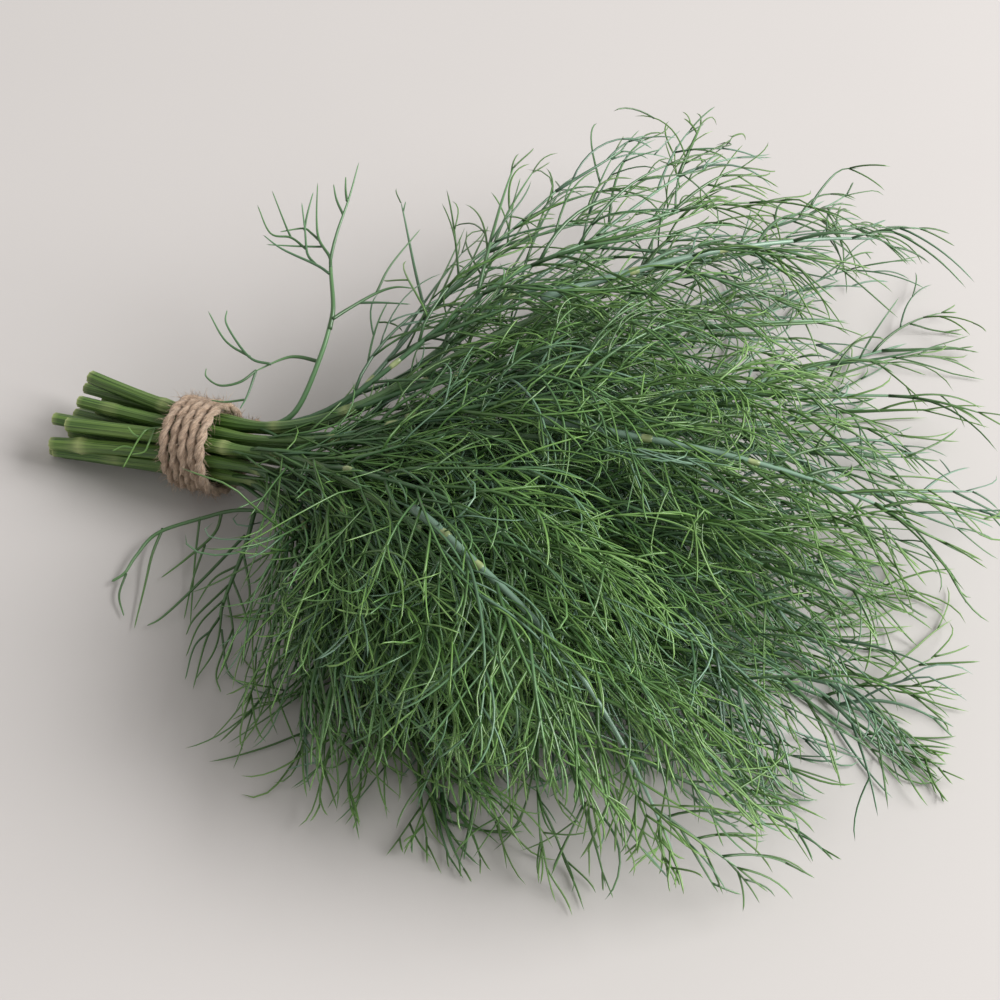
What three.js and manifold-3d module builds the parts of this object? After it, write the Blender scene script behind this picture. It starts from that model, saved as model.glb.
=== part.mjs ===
// A hand-tied bunch of fresh dill, lying on a table.
//
// Fourteen cut stalks are bound by one length of jute twine. Each stalk is a green stem with three
// feathery leaves: one to its left, one to its right and one at its tip. Past the tie the stalks open
// into a fan that stands as a low dome of four rows, one over the other. Two loose sprigs leave the
// bunch beside the tie: one rises behind it and one lies on the table in front.
//
// Units are millimetres. +X runs along the bunch from the cut ends to the leaf tips, +Z is up, and the
// bunch is moved at the end so that the origin is on the table under the middle of its outline.
import * as THREE from "three";
import { mergeVertices } from "three/addons/utils/BufferGeometryUtils.js";
import Module from "manifold-3d";

const wasm = await Module();
wasm.setup();

const { degToRad, lerp, smoothstep } = THREE.MathUtils;

// ---- The bundle inside the tie -------------------------------------------------------------------
const STEM_DIAMETER = 4.6;
const STEM_PITCH = STEM_DIAMETER + 0.35;
const ROW_OFFSETS = [-6.85, -2.5, 2.5, 6.85];
const TIE_HEIGHT = 16.7;
const BUNDLE_RISE = Math.tan(degToRad(9));
const CUT_LENGTH = 47;
const CUT_SPREAD = 4;
const BUTT_FLARE = 0.0065;

// ---- The twine -------------------------------------------------------------------------------------
const TWINE_DIAMETER = 3;
const TWINE_TURNS = 5;
const TWINE_PITCH = 3.3;
const TWINE_STEPS_PER_TURN = 20;
const TIE_HALF_WIDTH = 9;

// ---- The fan of foliage ----------------------------------------------------------------------------
const FAN_REACH = 238;
const FAN_BEND = 50;
const ROW_BEARINGS = [
  [-45, -2, 42],
  [-58, -20, 18, 56],
  [-44, -8, 28, 64],
  [-28, 8, 44],
];
const ROW_REACH = [1, 1, 0.98, 0.93];
const DOME_HEIGHTS = [3.2, 22, 37.5, 53];
const DOME_DROOPS = [0, 8, 18, 27];
const DOME_START = 9;
const DOME_FULL = 110;
const DROOP_START = 135;
const SECTOR_GAP = 1.5;

// ---- Leaves ----------------------------------------------------------------------------------------
const STEM_SHARE = 0.46;
const OUTER_NODE = 19;
const INNER_NODE = 43;
const PETIOLE_LENGTH = 13;
const PETIOLE_RADIUS = 0.9;
const LEAF_THICKNESS = 2.6;
const LEAF_WIDTH = 62;
const LOBES = 5;
const NOTCH_SHARE = 0.36;
const LOBE_SWEEP = 11;
const GAP = 0.3;

/** One entry for each of a stalk's leaves: where it leaves the stem, where its blade runs, its level. */
const LEAF_KINDS = [
  { name: "left", side: 1, node: 0.1, blade: 0.27, end: 0.74, level: 0.31, groundLevel: 0.52 },
  { name: "right", side: -1, node: 0.15, blade: 0.34, end: 0.86, level: -0.31, groundLevel: 0.26 },
  { name: "tip", side: 0, node: STEM_SHARE, blade: 0.5, end: 1, level: 0, groundLevel: -0.13 },
];

const stemFinish = () => new THREE.MeshStandardMaterial({ color: 0x4d7838, roughness: 0.5 });
const leafFinish = () => new THREE.MeshStandardMaterial({ color: 0x3d7439, roughness: 0.6 });
const twineFinish = () => new THREE.MeshStandardMaterial({ color: 0xaf8c6b, roughness: 0.95 });

/** How far the fan reaches from the tie at a bearing in degrees from +X, positive towards +Y. */
function reachAt(bearing) {
  if (bearing < 0) {
    return FAN_REACH * Math.max(Math.cos(degToRad(bearing)), 0.3) ** 1.25;
  }
  return FAN_REACH - 0.45 * Math.max(0, Math.min(bearing, 68) - 55) ** 2;
}

/** The height of a row's middle surface over a place on the table. */
function rowHeight(row, x, y) {
  const inBundle = TIE_HEIGHT + ROW_OFFSETS[row] + BUNDLE_RISE * Math.min(x, 40);
  if (x <= TIE_HALF_WIDTH) {
    return inBundle;
  }
  const reach = reachAt(THREE.MathUtils.radToDeg(Math.atan2(y, x)));
  const out = Math.max(0, Math.hypot(x, y) - TIE_HALF_WIDTH);
  const scaled = TIE_HALF_WIDTH + (out * (FAN_REACH - TIE_HALF_WIDTH)) / (reach - TIE_HALF_WIDTH);
  const droop = Math.max(0, scaled - DROOP_START) / (FAN_REACH - DROOP_START);
  const dome = lerp(inBundle, DOME_HEIGHTS[row], smoothstep(scaled, DOME_START, DOME_FULL));
  return dome - DOME_DROOPS[row] * Math.min(droop, 1.1) ** 2;
}

/** The distance between a row and the next one above it, or below it for the top row. */
function rowSpacing(row, x, y) {
  const lower = Math.min(row, ROW_OFFSETS.length - 2);
  return rowHeight(lower + 1, x, y) - rowHeight(lower, x, y);
}

/** A stalk's line over the table: straight through the tie, then turning to its bearing. */
class StalkLine {
  constructor(row, place, count) {
    this.row = row;
    this.bearing = ROW_BEARINGS[row][place];
    this.side = (place - (count - 1) / 2) * STEM_PITCH;
    this.reach = reachAt(this.bearing) * ROW_REACH[row];
    const next = ROW_BEARINGS[row][1] - ROW_BEARINGS[row][0];
    this.halfSector = degToRad(next / 2);
    this.openSide = { [-1]: place === 0, 1: place === count - 1 };
  }

  /** How far along the line a leaf of this kind leaves the stem. */
  nodeOf(kind) {
    if (kind.side === 0) {
      return this.reach * STEM_SHARE;
    }
    return Math.max(kind.node * this.reach, this.openSide[kind.side] ? OUTER_NODE : INNER_NODE);
  }

  /** The heading, in radians from +X, at a distance along the line from the tie. */
  heading(along) {
    return degToRad(this.bearing) * smoothstep(along, TIE_HALF_WIDTH, TIE_HALF_WIDTH + FAN_BEND);
  }

  /** The place on the table under the line, moved sideways by an offset. */
  plan(along, offset = 0) {
    const at = new THREE.Vector2(Math.min(along, 0), this.side * (1 + BUTT_FLARE * Math.max(0, -along)));
    const steps = Math.max(1, Math.ceil(along / 2));
    const step = Math.max(0, along) / steps;
    for (let i = 0; i < steps; i += 1) {
      const turn = this.heading((i + 0.5) * step);
      at.x += Math.cos(turn) * step;
      at.y += Math.sin(turn) * step;
    }
    const turn = this.heading(along);
    return at.add(new THREE.Vector2(-Math.sin(turn), Math.cos(turn)).multiplyScalar(offset));
  }

  /** The stem's centre at a distance along the line. */
  point(along) {
    const at = this.plan(along);
    return new THREE.Vector3(at.x, at.y, rowHeight(this.row, at.x, at.y));
  }

  /** The sideways room from the line to the next stalk of its row. */
  room(along) {
    const bent = Math.max(0, along - TIE_HALF_WIDTH - FAN_BEND / 2);
    return STEM_PITCH / 2 + bent * Math.sin(this.halfSector) - SECTOR_GAP;
  }
}

/** A closed sleeve of stations, each a ring of points, with both ends capped by a fan. */
function sleeve(rings) {
  const sides = rings[0].length;
  const shape = new THREE.CylinderGeometry(1, 1, 1, sides, rings.length - 1);
  shape.deleteAttribute("normal");
  shape.deleteAttribute("uv");
  const place = shape.getAttribute("position");
  for (let i = 0; i < place.count; i += 1) {
    const row = Math.round((0.5 - place.getY(i)) * (rings.length - 1));
    const across = Math.hypot(place.getX(i), place.getZ(i));
    const turn = Math.atan2(place.getX(i), place.getZ(i)) / (2 * Math.PI);
    const side = Math.round((turn + 1) * sides) % sides;
    const ring = rings[row];
    const middle = ring.reduce((sum, p) => sum.add(p), new THREE.Vector3()).divideScalar(sides);
    const at = across < 0.5 ? middle : ring[side];
    place.setXYZ(i, at.x, at.y, at.z);
  }
  return mergeVertices(shape, 1e-4);
}

/** A round rod along a curve, its radius given for each share of the length. */
function rod(curve, radiusAt, steps, sides) {
  const frames = curve.computeFrenetFrames(steps, false);
  const rings = [];
  for (let i = 0; i <= steps; i += 1) {
    const share = i / steps;
    const centre = curve.getPoint(share);
    const ring = [];
    for (let j = 0; j < sides; j += 1) {
      const turn = (2 * Math.PI * j) / sides;
      const out = frames.normals[i].clone().multiplyScalar(Math.cos(turn));
      out.addScaledVector(frames.binormals[i], Math.sin(turn));
      ring.push(centre.clone().addScaledVector(out, radiusAt(share)));
    }
    rings.push(ring);
  }
  return facingOut(sleeve(rings));
}

/** The geometry with its faces turned so that they point out. */
function facingOut(geometry) {
  const place = geometry.getAttribute("position");
  const order = geometry.index.array;
  const corners = [new THREE.Vector3(), new THREE.Vector3(), new THREE.Vector3()];
  let volume = 0;
  for (let i = 0; i < order.length; i += 3) {
    corners.forEach((corner, j) => corner.fromBufferAttribute(place, order[i + j]));
    volume += corners[0].dot(corners[1].clone().cross(corners[2]));
  }
  if (volume < 0) {
    for (let i = 0; i < order.length; i += 3) {
      [order[i + 1], order[i + 2]] = [order[i + 2], order[i + 1]];
    }
  }
  return geometry;
}

/** A closed geometry as a solid that can be cut and joined. */
function toSolid(geometry) {
  return new wasm.Manifold(
    new wasm.Mesh({
      numProp: 3,
      vertProperties: new Float32Array(geometry.getAttribute("position").array),
      triVerts: new Uint32Array(geometry.index.array),
    }),
  );
}

/** A solid as a geometry. */
function toGeometry(solid) {
  const mesh = solid.getMesh();
  const geometry = new THREE.BufferGeometry();
  geometry.setAttribute("position", new THREE.BufferAttribute(new Float32Array(mesh.vertProperties), 3));
  geometry.setIndex(new THREE.BufferAttribute(new Uint32Array(mesh.triVerts), 1));
  return geometry;
}

/** What is left of a geometry over the table: whatever dips under it is pressed flat. */
function pressedFlat(geometry) {
  const slab = new THREE.BoxGeometry(1000, 1000, 50).translate(0, 0, -25);
  slab.deleteAttribute("normal");
  slab.deleteAttribute("uv");
  return toGeometry(toSolid(geometry).subtract(toSolid(mergeVertices(slab))));
}

/** A stem from its cut end to the base of its tip leaf, thicker at the nodes where leaves leave it. */
function stemGeometry(line, index) {
  const start = -CUT_LENGTH - CUT_SPREAD * Math.sin(index * 2.4);
  const end = line.reach * STEM_SHARE;
  const stations = 13;
  const points = [];
  for (let i = 0; i <= stations; i += 1) {
    points.push(line.point(lerp(start, end, i / stations)));
  }
  const curve = new THREE.CatmullRomCurve3(points);
  const nodes = LEAF_KINDS.filter((kind) => kind.side !== 0).map((kind) => line.nodeOf(kind));
  const radiusAt = (share) => {
    const along = lerp(start, end, share);
    const taper = lerp(STEM_DIAMETER / 2, 1, smoothstep(along, 0, line.reach * 0.6));
    const swell = nodes.reduce((sum, node) => sum + 0.1 * Math.exp(-(((along - node) / 4) ** 2)), 1);
    return taper * swell;
  };
  const stem = rod(curve, radiusAt, 18, 8);
  return line.row === 0 ? pressedFlat(stem) : stem;
}

/** The height over its row, as a share of the row spacing, at which a leaf of this kind lies. */
function levelOf(kind, row) {
  return row === 0 ? kind.groundLevel : kind.level;
}

/** A leaf: a thin stalk, then a flat blade with paired, forward-swept lobes that follows the dome. */
function leafGeometry(line, kind) {
  const node = line.nodeOf(kind);
  const stemRadius = lerp(STEM_DIAMETER / 2, 1, smoothstep(node, 0, line.reach * 0.6));
  const base = kind.side === 0 ? node + GAP : node;
  const bladeStart = Math.max(line.reach * kind.blade, base + PETIOLE_LENGTH);
  const end = line.reach * kind.end;
  const nearStem = kind.side * (stemRadius * 1.15 + GAP + PETIOLE_RADIUS);
  const rings = [];

  /** Adds a four-cornered station: up, right edge, down, left edge. */
  const addRing = (along, halfWidth, halfThickness, sweep) => {
    const share = (along - base) / (end - base);
    const spread = 0.16 * Math.max(0, along - base) * Math.sin(Math.PI * Math.min(share, 0.6));
    const offset = nearStem + kind.side * spread;
    const rise = smoothstep(along, base + 1, bladeStart);
    const lift = (at) => {
      const level = levelOf(kind, line.row) * rowSpacing(line.row, at.x, at.y);
      return rowHeight(line.row, at.x, at.y) + level * (kind.side === 0 ? 1 : rise);
    };
    const middle = line.plan(along, offset);
    const right = line.plan(along + sweep, offset - halfWidth);
    const left = line.plan(along + sweep, offset + halfWidth);
    rings.push([
      new THREE.Vector3(middle.x, middle.y, lift(middle) + halfThickness),
      new THREE.Vector3(right.x, right.y, lift(right)),
      new THREE.Vector3(middle.x, middle.y, lift(middle) - halfThickness),
      new THREE.Vector3(left.x, left.y, lift(left)),
    ]);
  };

  const petioleSteps = 4;
  for (let i = 0; i < petioleSteps; i += 1) {
    addRing(lerp(base, bladeStart, i / petioleSteps), PETIOLE_RADIUS, PETIOLE_RADIUS, 0);
  }
  const pitch = (end - bladeStart) / (LOBES + 0.6);
  for (let i = 0; i < LOBES; i += 1) {
    const share = (i + 0.5) / LOBES;
    const along = bladeStart + pitch * i;
    const room = line.room(along) - 0.16 * Math.max(0, along - base) * Math.abs(kind.side);
    const widest = Math.min(LEAF_WIDTH / 2, Math.max(room, PETIOLE_RADIUS * 1.5));
    const width = Math.max(widest * Math.sin(Math.PI * share ** 0.75) ** 0.7, PETIOLE_RADIUS * 1.4);
    const thickness = (LEAF_THICKNESS / 2) * (1 - 0.55 * share);
    addRing(along, Math.max(width * NOTCH_SHARE, PETIOLE_RADIUS), thickness, 0);
    addRing(along + pitch * 0.45, width, thickness, Math.min(LOBE_SWEEP, width * 0.5));
  }
  addRing(bladeStart + pitch * LOBES, PETIOLE_RADIUS * 1.6, 0.5, 0);
  addRing(end, 0.4, 0.4, 0);
  const leaf = facingOut(sleeve(rings));
  return line.row === 0 && kind.side === 0 ? pressedFlat(leaf) : leaf;
}

/** A loose sprig: one stalk and its side shoots, joined in one solid. */
function sprigGeometry(shoots) {
  const solids = shoots.map(({ points, thick }) => {
    const curve = new THREE.CatmullRomCurve3(points.map((p) => new THREE.Vector3(...p)));
    return toSolid(rod(curve, (share) => lerp(thick, 0.45, share), 3 * points.length, 5));
  });
  return toGeometry(solids.reduce((sum, solid) => sum.add(solid)));
}

/** The twine: five turns side by side round the bundle, closed by a knot low on its far side. */
function twineGeometry() {
  const corner = Math.hypot(STEM_PITCH, ROW_OFFSETS[3]) + STEM_DIAMETER / 2;
  const radius = corner + GAP + TWINE_DIAMETER / 2;
  const knotTurn = degToRad(-35);
  const points = [];
  const steps = TWINE_TURNS * TWINE_STEPS_PER_TURN;
  for (let i = 0; i <= steps; i += 1) {
    const turn = knotTurn + (2 * Math.PI * i) / TWINE_STEPS_PER_TURN;
    const x = TWINE_PITCH * (i / TWINE_STEPS_PER_TURN - TWINE_TURNS / 2);
    points.push(new THREE.Vector3(x, radius * Math.cos(turn), radius * Math.sin(turn)));
  }
  const winding = rod(new THREE.CatmullRomCurve3(points), () => TWINE_DIAMETER / 2, steps, 6);
  let solid = toSolid(winding);

  const knotRadius = radius + TWINE_DIAMETER - 0.4;
  const onRing = (x, r, turn) => new THREE.Vector3(x, r * Math.cos(turn), r * Math.sin(turn));
  const first = points[0];
  const last = points[points.length - 1];
  const crossing = [
    first,
    onRing(first.x + 1.5, knotRadius, knotTurn - 0.12),
    onRing(0, knotRadius + 0.6, knotTurn - 0.05),
    onRing(last.x - 1.5, knotRadius, knotTurn + 0.12),
    last,
  ];
  solid = solid.add(toSolid(rod(new THREE.CatmullRomCurve3(crossing), () => 1.4, 12, 6)));
  const knot = new THREE.SphereGeometry(2.5, 8, 6);
  knot.deleteAttribute("normal");
  knot.deleteAttribute("uv");
  const middle = onRing(0, knotRadius + 1, knotTurn);
  knot.scale(1.15, 1, 1).translate(middle.x, middle.y, middle.z);
  solid = solid.add(toSolid(mergeVertices(knot)));
  for (const way of [-1, 1]) {
    const tail = [
      middle,
      onRing(way * 3, knotRadius + 0.9, knotTurn + way * 0.22),
      onRing(way * 6, knotRadius + 0.6, knotTurn + way * 0.3),
      onRing(way * 9, knotRadius - 0.3, knotTurn + way * 0.42),
    ];
    solid = solid.add(toSolid(rod(new THREE.CatmullRomCurve3(tail), () => 1.25, 8, 6)));
  }
  const tilt = new THREE.Matrix4().makeRotationY(-Math.atan(BUNDLE_RISE)).setPosition(0, 0, TIE_HEIGHT);
  return toGeometry(solid).applyMatrix4(tilt);
}

/** The sprig that rises behind the tie, clear of the foliage. */
const FAR_SPRIG = [
  {
    thick: 1.05,
    points: [[26, 18.5, 26], [26, 27, 34], [24.5, 39, 42], [19.5, 52.5, 48], [15, 69.5, 54], [12, 86.5, 60]],
  },
  { thick: 0.7, points: [[19.5, 52.5, 48], [10, 57, 49], [-3, 63, 50], [-12, 71, 51]] },
  { thick: 0.7, points: [[17.5, 58, 50], [9, 66, 53], [3, 78, 56]] },
  { thick: 0.7, points: [[26, 27, 34], [18, 24.5, 37.5], [9, 23, 39], [0, 24.5, 40], [-9, 30, 42]] },
  { thick: 0.7, points: [[24.5, 39, 42], [31.5, 48, 44], [39, 53, 46], [47, 56.5, 46]] },
];

/** The sprig that lies on the table in front of the tie. */
const NEAR_SPRIG = [
  {
    thick: 1,
    points: [[17, -14.5, 4.5], [11.5, -17, 3.6], [-1.5, -25, 2.4], [-6, -35, 1.6], [-8, -46, 1.2]],
  },
  { thick: 0.7, points: [[11.5, -17, 3.6], [10, -28, 2.4], [6, -42, 1.4], [1, -55, 1.1]] },
  { thick: 0.8, points: [[17, -14.5, 4.5], [20, -30, 3], [25, -48, 1.8], [27, -70, 1.1]] },
];

const bunch = new THREE.Group();

/** Adds one named piece to the bunch. */
function addPiece(name, geometry, material) {
  const piece = new THREE.Mesh(geometry, material);
  piece.name = name;
  bunch.add(piece);
}

let number = 0;
ROW_BEARINGS.forEach((bearings, row) => {
  bearings.forEach((bearing, place) => {
    number += 1;
    const label = String(number).padStart(2, "0");
    const line = new StalkLine(row, place, bearings.length);
    addPiece(`stem_${label}`, stemGeometry(line, number), stemFinish());
    for (const kind of LEAF_KINDS) {
      addPiece(`leaf_${label}_${kind.name}`, leafGeometry(line, kind), leafFinish());
    }
  });
});
addPiece("sprig_far", sprigGeometry(FAR_SPRIG), leafFinish());
addPiece("sprig_near", sprigGeometry(NEAR_SPRIG), leafFinish());
addPiece("twine_tie", twineGeometry(), twineFinish());

const outline = new THREE.Box3().setFromObject(bunch);
const middle = outline.getCenter(new THREE.Vector3());
bunch.position.set(-middle.x, -middle.y, -outline.min.z);

export default bunch;
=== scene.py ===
"""A hand-tied bunch of fresh dill lying on a pale table.

Fourteen cut stalks are bound with five turns of jute twine. Each stalk carries three feathery fronds,
grown here branch by branch as fine tapering threads, and two loose sprigs leave the bunch beside the tie.
Lengths are in millimetres measured from the middle of the tie, with +X running from the cut ends towards
the leaf tips and Z counted from the table, until a mesh is written in metres in the part's own frame.
"""

import logging
import math
from dataclasses import dataclass, fields, replace
from enum import Enum

import bmesh
import bpy
import numpy as np
from mathutils import Matrix, Vector


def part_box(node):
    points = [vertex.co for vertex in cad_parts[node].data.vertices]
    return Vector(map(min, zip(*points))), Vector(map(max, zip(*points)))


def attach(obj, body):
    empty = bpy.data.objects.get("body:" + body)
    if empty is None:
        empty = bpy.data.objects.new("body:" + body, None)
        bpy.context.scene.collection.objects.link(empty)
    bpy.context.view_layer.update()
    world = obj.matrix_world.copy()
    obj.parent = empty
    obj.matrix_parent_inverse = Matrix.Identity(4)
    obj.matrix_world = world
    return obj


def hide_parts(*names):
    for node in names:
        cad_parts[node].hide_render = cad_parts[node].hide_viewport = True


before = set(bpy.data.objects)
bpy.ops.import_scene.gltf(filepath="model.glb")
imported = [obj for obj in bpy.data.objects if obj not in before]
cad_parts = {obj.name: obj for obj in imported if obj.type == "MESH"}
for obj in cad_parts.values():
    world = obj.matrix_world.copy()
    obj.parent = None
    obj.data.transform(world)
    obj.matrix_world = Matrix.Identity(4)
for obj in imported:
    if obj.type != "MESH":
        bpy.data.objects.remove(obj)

logging.basicConfig(level=logging.INFO, format="%(message)s")
LOG = logging.getLogger("dill_bunch")

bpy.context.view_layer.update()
MM = 0.001
UP = np.array([0.0, 0.0, 1.0])
Array = np.ndarray
Socket = bpy.types.NodeSocket
Colour = tuple[float, float, float]
Place = tuple[float, float, float]
Range = tuple[float, float]


# ---------------------------------------------------------------------------------------------------
# Small helpers
# ---------------------------------------------------------------------------------------------------


def smoothstep(value: Array, low: float, high: float) -> Array:
    """Returns an eased share from 0 at low to 1 at high."""
    share = np.clip((np.asarray(value, float) - low) / (high - low), 0.0, 1.0)
    return share * share * (3.0 - 2.0 * share)


def unit(vectors: Array) -> Array:
    """Returns the vectors scaled to length one."""
    length = np.linalg.norm(vectors, axis=-1, keepdims=True)
    return vectors / np.maximum(length, 1e-9)


def travel(line: Array) -> Array:
    """Returns how far along a line each of its places lies."""
    return np.concatenate([[0.0], np.cumsum(np.linalg.norm(np.diff(line, axis=0), axis=1))])


def smooth_line(stops: Array, steps: int) -> Array:
    """Runs a smooth curve through a few places.

    Args:
        stops: The places to run through.
        steps: Segments in the result.

    Returns:
        The curve's places.
    """
    padded = np.concatenate([2 * stops[:1] - stops[1:2], stops, 2 * stops[-1:] - stops[-2:-1]])
    at = np.linspace(0, len(stops) - 1 - 1e-6, steps + 1)
    index = at.astype(int)
    t = (at - index)[:, None]
    before, start, end, after = (padded[index + k] for k in range(4))
    square = (2 * before - 5 * start + 4 * end - after) * t * t
    cube = (3 * start - before - 3 * end + after) * t**3
    return 0.5 * (2 * start + (end - before) * t + square + cube)


def deselect_all() -> None:
    """Clears the selection, so that the next operator acts on its own piece only."""
    if bpy.context.object is not None and bpy.context.object.mode != "OBJECT":
        bpy.ops.object.mode_set(mode="OBJECT")
    bpy.ops.object.select_all(action="DESELECT")


class Slot(Enum):
    """The record's material slots."""

    STEM = "stem"
    LEAF = "leaf"
    TWINE = "twine"


# ---------------------------------------------------------------------------------------------------
# Finishes
# ---------------------------------------------------------------------------------------------------


@dataclass(frozen=True)
class Stop:
    """One colour on a ramp."""

    at: float
    colour: Colour


class NodeSheet:
    """A material's node tree with short calls for the nodes that the finishes share."""

    def __init__(self, name: str) -> None:
        """Starts an empty material.

        Args:
            name: The material's name.
        """
        self.material = bpy.data.materials.new(name)
        self.material.use_nodes = True
        self.tree = self.material.node_tree
        self.shader = self.tree.nodes["Principled BSDF"]

    def add(self, kind: str, **settings: object) -> bpy.types.Node:
        """Adds a node.

        Args:
            kind: The node's type.
            settings: The node's own properties.

        Returns:
            The node.
        """
        node = self.tree.nodes.new(kind)
        for key, value in settings.items():
            setattr(node, key, value)
        return node

    def feed(self, socket: Socket, value: Socket | Colour | float) -> None:
        """Links a socket to another one, or sets the socket's own value.

        Args:
            socket: The socket to feed.
            value: Another socket, a colour or a number.
        """
        if isinstance(value, Socket):
            self.tree.links.new(value, socket)
        else:
            socket.default_value = (*value, 1.0) if isinstance(value, tuple) else value

    def dress(self, values: dict[str, Socket | Colour | float]) -> bpy.types.Material:
        """Feeds the shader.

        Args:
            values: What each of the shader's named sockets gets.

        Returns:
            The finished material.
        """
        for name, value in values.items():
            self.feed(self.shader.inputs[name], value)
        return self.material

    def ramp(self, stops: tuple[Stop, ...], factor: Socket) -> Socket:
        """Adds a colour ramp.

        Args:
            stops: The ramp's colours.
            factor: Where on the ramp the surface lies.

        Returns:
            The ramp's colour.
        """
        node = self.add("ShaderNodeValToRGB")
        while len(node.color_ramp.elements) < len(stops):
            node.color_ramp.elements.new(0.5)
        for element, stop in zip(node.color_ramp.elements, stops):
            element.position = stop.at
            element.color = (*stop.colour, 1.0)
        self.feed(node.inputs["Fac"], factor)
        return node.outputs["Color"]

    def mix(self, share: Socket | float, first: Socket | Colour, second: Socket | Colour) -> Socket:
        """Mixes two colours.

        Args:
            share: The share of the second colour.
            first: The first colour.
            second: The second colour.

        Returns:
            The mixed colour.
        """
        node = self.add("ShaderNodeMix", data_type="RGBA")
        for index, value in ((0, share), (6, first), (7, second)):
            self.feed(node.inputs[index], value)
        return node.outputs[2]

    def math(self, operation: str, *values: Socket | float) -> Socket:
        """Adds a calculation.

        Args:
            operation: The math node's operation.
            values: Sockets or numbers to work on.

        Returns:
            The result.
        """
        node = self.add("ShaderNodeMath", operation=operation)
        for socket, value in zip(node.inputs, values):
            self.feed(socket, value)
        return node.outputs[0]

    def line(self, value: Socket, slope: float, start: float) -> Socket:
        """Returns a value times a slope, plus a start."""
        return self.math("MULTIPLY_ADD", value, slope, start)

    def noise(self, place: Socket, scale: float, detail: float) -> Socket:
        """Adds a noise.

        Args:
            place: Where it is read.
            scale: How fine it is.
            detail: How many finer layers it has.

        Returns:
            Its strength.
        """
        node = self.add("ShaderNodeTexNoise")
        self.feed(node.inputs["Scale"], scale)
        self.feed(node.inputs["Detail"], detail)
        self.feed(node.inputs["Vector"], place)
        return node.outputs[0]

    def map_place(self, name: str) -> Socket:
        """Returns the place on a piece's own map."""
        return self.add("ShaderNodeUVMap", uv_map=name).outputs["UV"]

    def stretched(self, place: Socket, along: float, across: float, turn: float = 0.0) -> Socket:
        """Stretches a place on a map.

        Args:
            place: The place.
            along: Its scale along the grain.
            across: Its scale across the grain.
            turn: The angle that the grain is turned by, in radians.

        Returns:
            The stretched place.
        """
        node = self.add("ShaderNodeMapping")
        node.inputs["Scale"].default_value = (along, across, 1.0)
        node.inputs["Rotation"].default_value = (0.0, 0.0, turn)
        self.feed(node.inputs["Vector"], place)
        return node.outputs["Vector"]

    def bump(self, height: Socket, strength: float, distance: float) -> Socket:
        """Adds a fine relief.

        Args:
            height: The relief's height, from 0 to 1.
            strength: How strongly it shows.
            distance: Its depth in metres.

        Returns:
            The surface's normal with the relief.
        """
        node = self.add("ShaderNodeBump")
        self.feed(node.inputs["Strength"], strength)
        self.feed(node.inputs["Distance"], distance)
        self.feed(node.inputs["Height"], height)
        return node.outputs["Normal"]


@dataclass(frozen=True)
class ThreadFinish:
    """Leaf threads: the map's height picks the tint and its length runs from the thread's base to its tip."""

    name: str = "dill_thread"
    base: tuple[Stop, ...] = (
        Stop(0.0, (0.170, 0.265, 0.205)),
        Stop(0.1, (0.115, 0.205, 0.145)),
        Stop(0.24, (0.044, 0.106, 0.046)),
        Stop(0.4, (0.036, 0.096, 0.025)),
        Stop(0.65, (0.060, 0.144, 0.030)),
        Stop(0.85, (0.110, 0.230, 0.062)),
        Stop(0.94, (0.110, 0.230, 0.062)),
        Stop(0.97, (0.200, 0.130, 0.050)),
    )
    tip: tuple[Stop, ...] = (
        Stop(0.0, (0.230, 0.380, 0.275)),
        Stop(0.24, (0.140, 0.280, 0.150)),
        Stop(0.4, (0.118, 0.258, 0.076)),
        Stop(0.65, (0.175, 0.335, 0.080)),
        Stop(0.85, (0.250, 0.420, 0.140)),
        Stop(0.94, (0.250, 0.420, 0.140)),
        Stop(0.97, (0.290, 0.170, 0.070)),
    )
    sheath: Colour = (0.360, 0.420, 0.200)
    sheath_start: float = 2.35
    sheath_fade: float = 45.0
    tip_reach: float = 1.5
    roughness: float = 0.34
    gloss: float = 0.62

    def make(self) -> bpy.types.Material:
        """Builds the material.

        Returns:
            The material.
        """
        sheet = NodeSheet(self.name)
        split = sheet.add("ShaderNodeSeparateXYZ")
        sheet.feed(split.inputs[0], sheet.map_place("OFBake"))
        along, tint = split.outputs["X"], split.outputs["Y"]
        towards_tip = sheet.math("POWER", along, self.tip_reach)
        green = sheet.mix(towards_tip, sheet.ramp(self.base, tint), sheet.ramp(self.tip, tint))
        sheath = sheet.line(along, -self.sheath_fade, self.sheath_start)
        colour = sheet.mix(sheath, green, self.sheath)
        return sheet.dress(
            {"Base Color": colour, "Roughness": self.roughness, "Specular IOR Level": self.gloss}
        )


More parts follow.
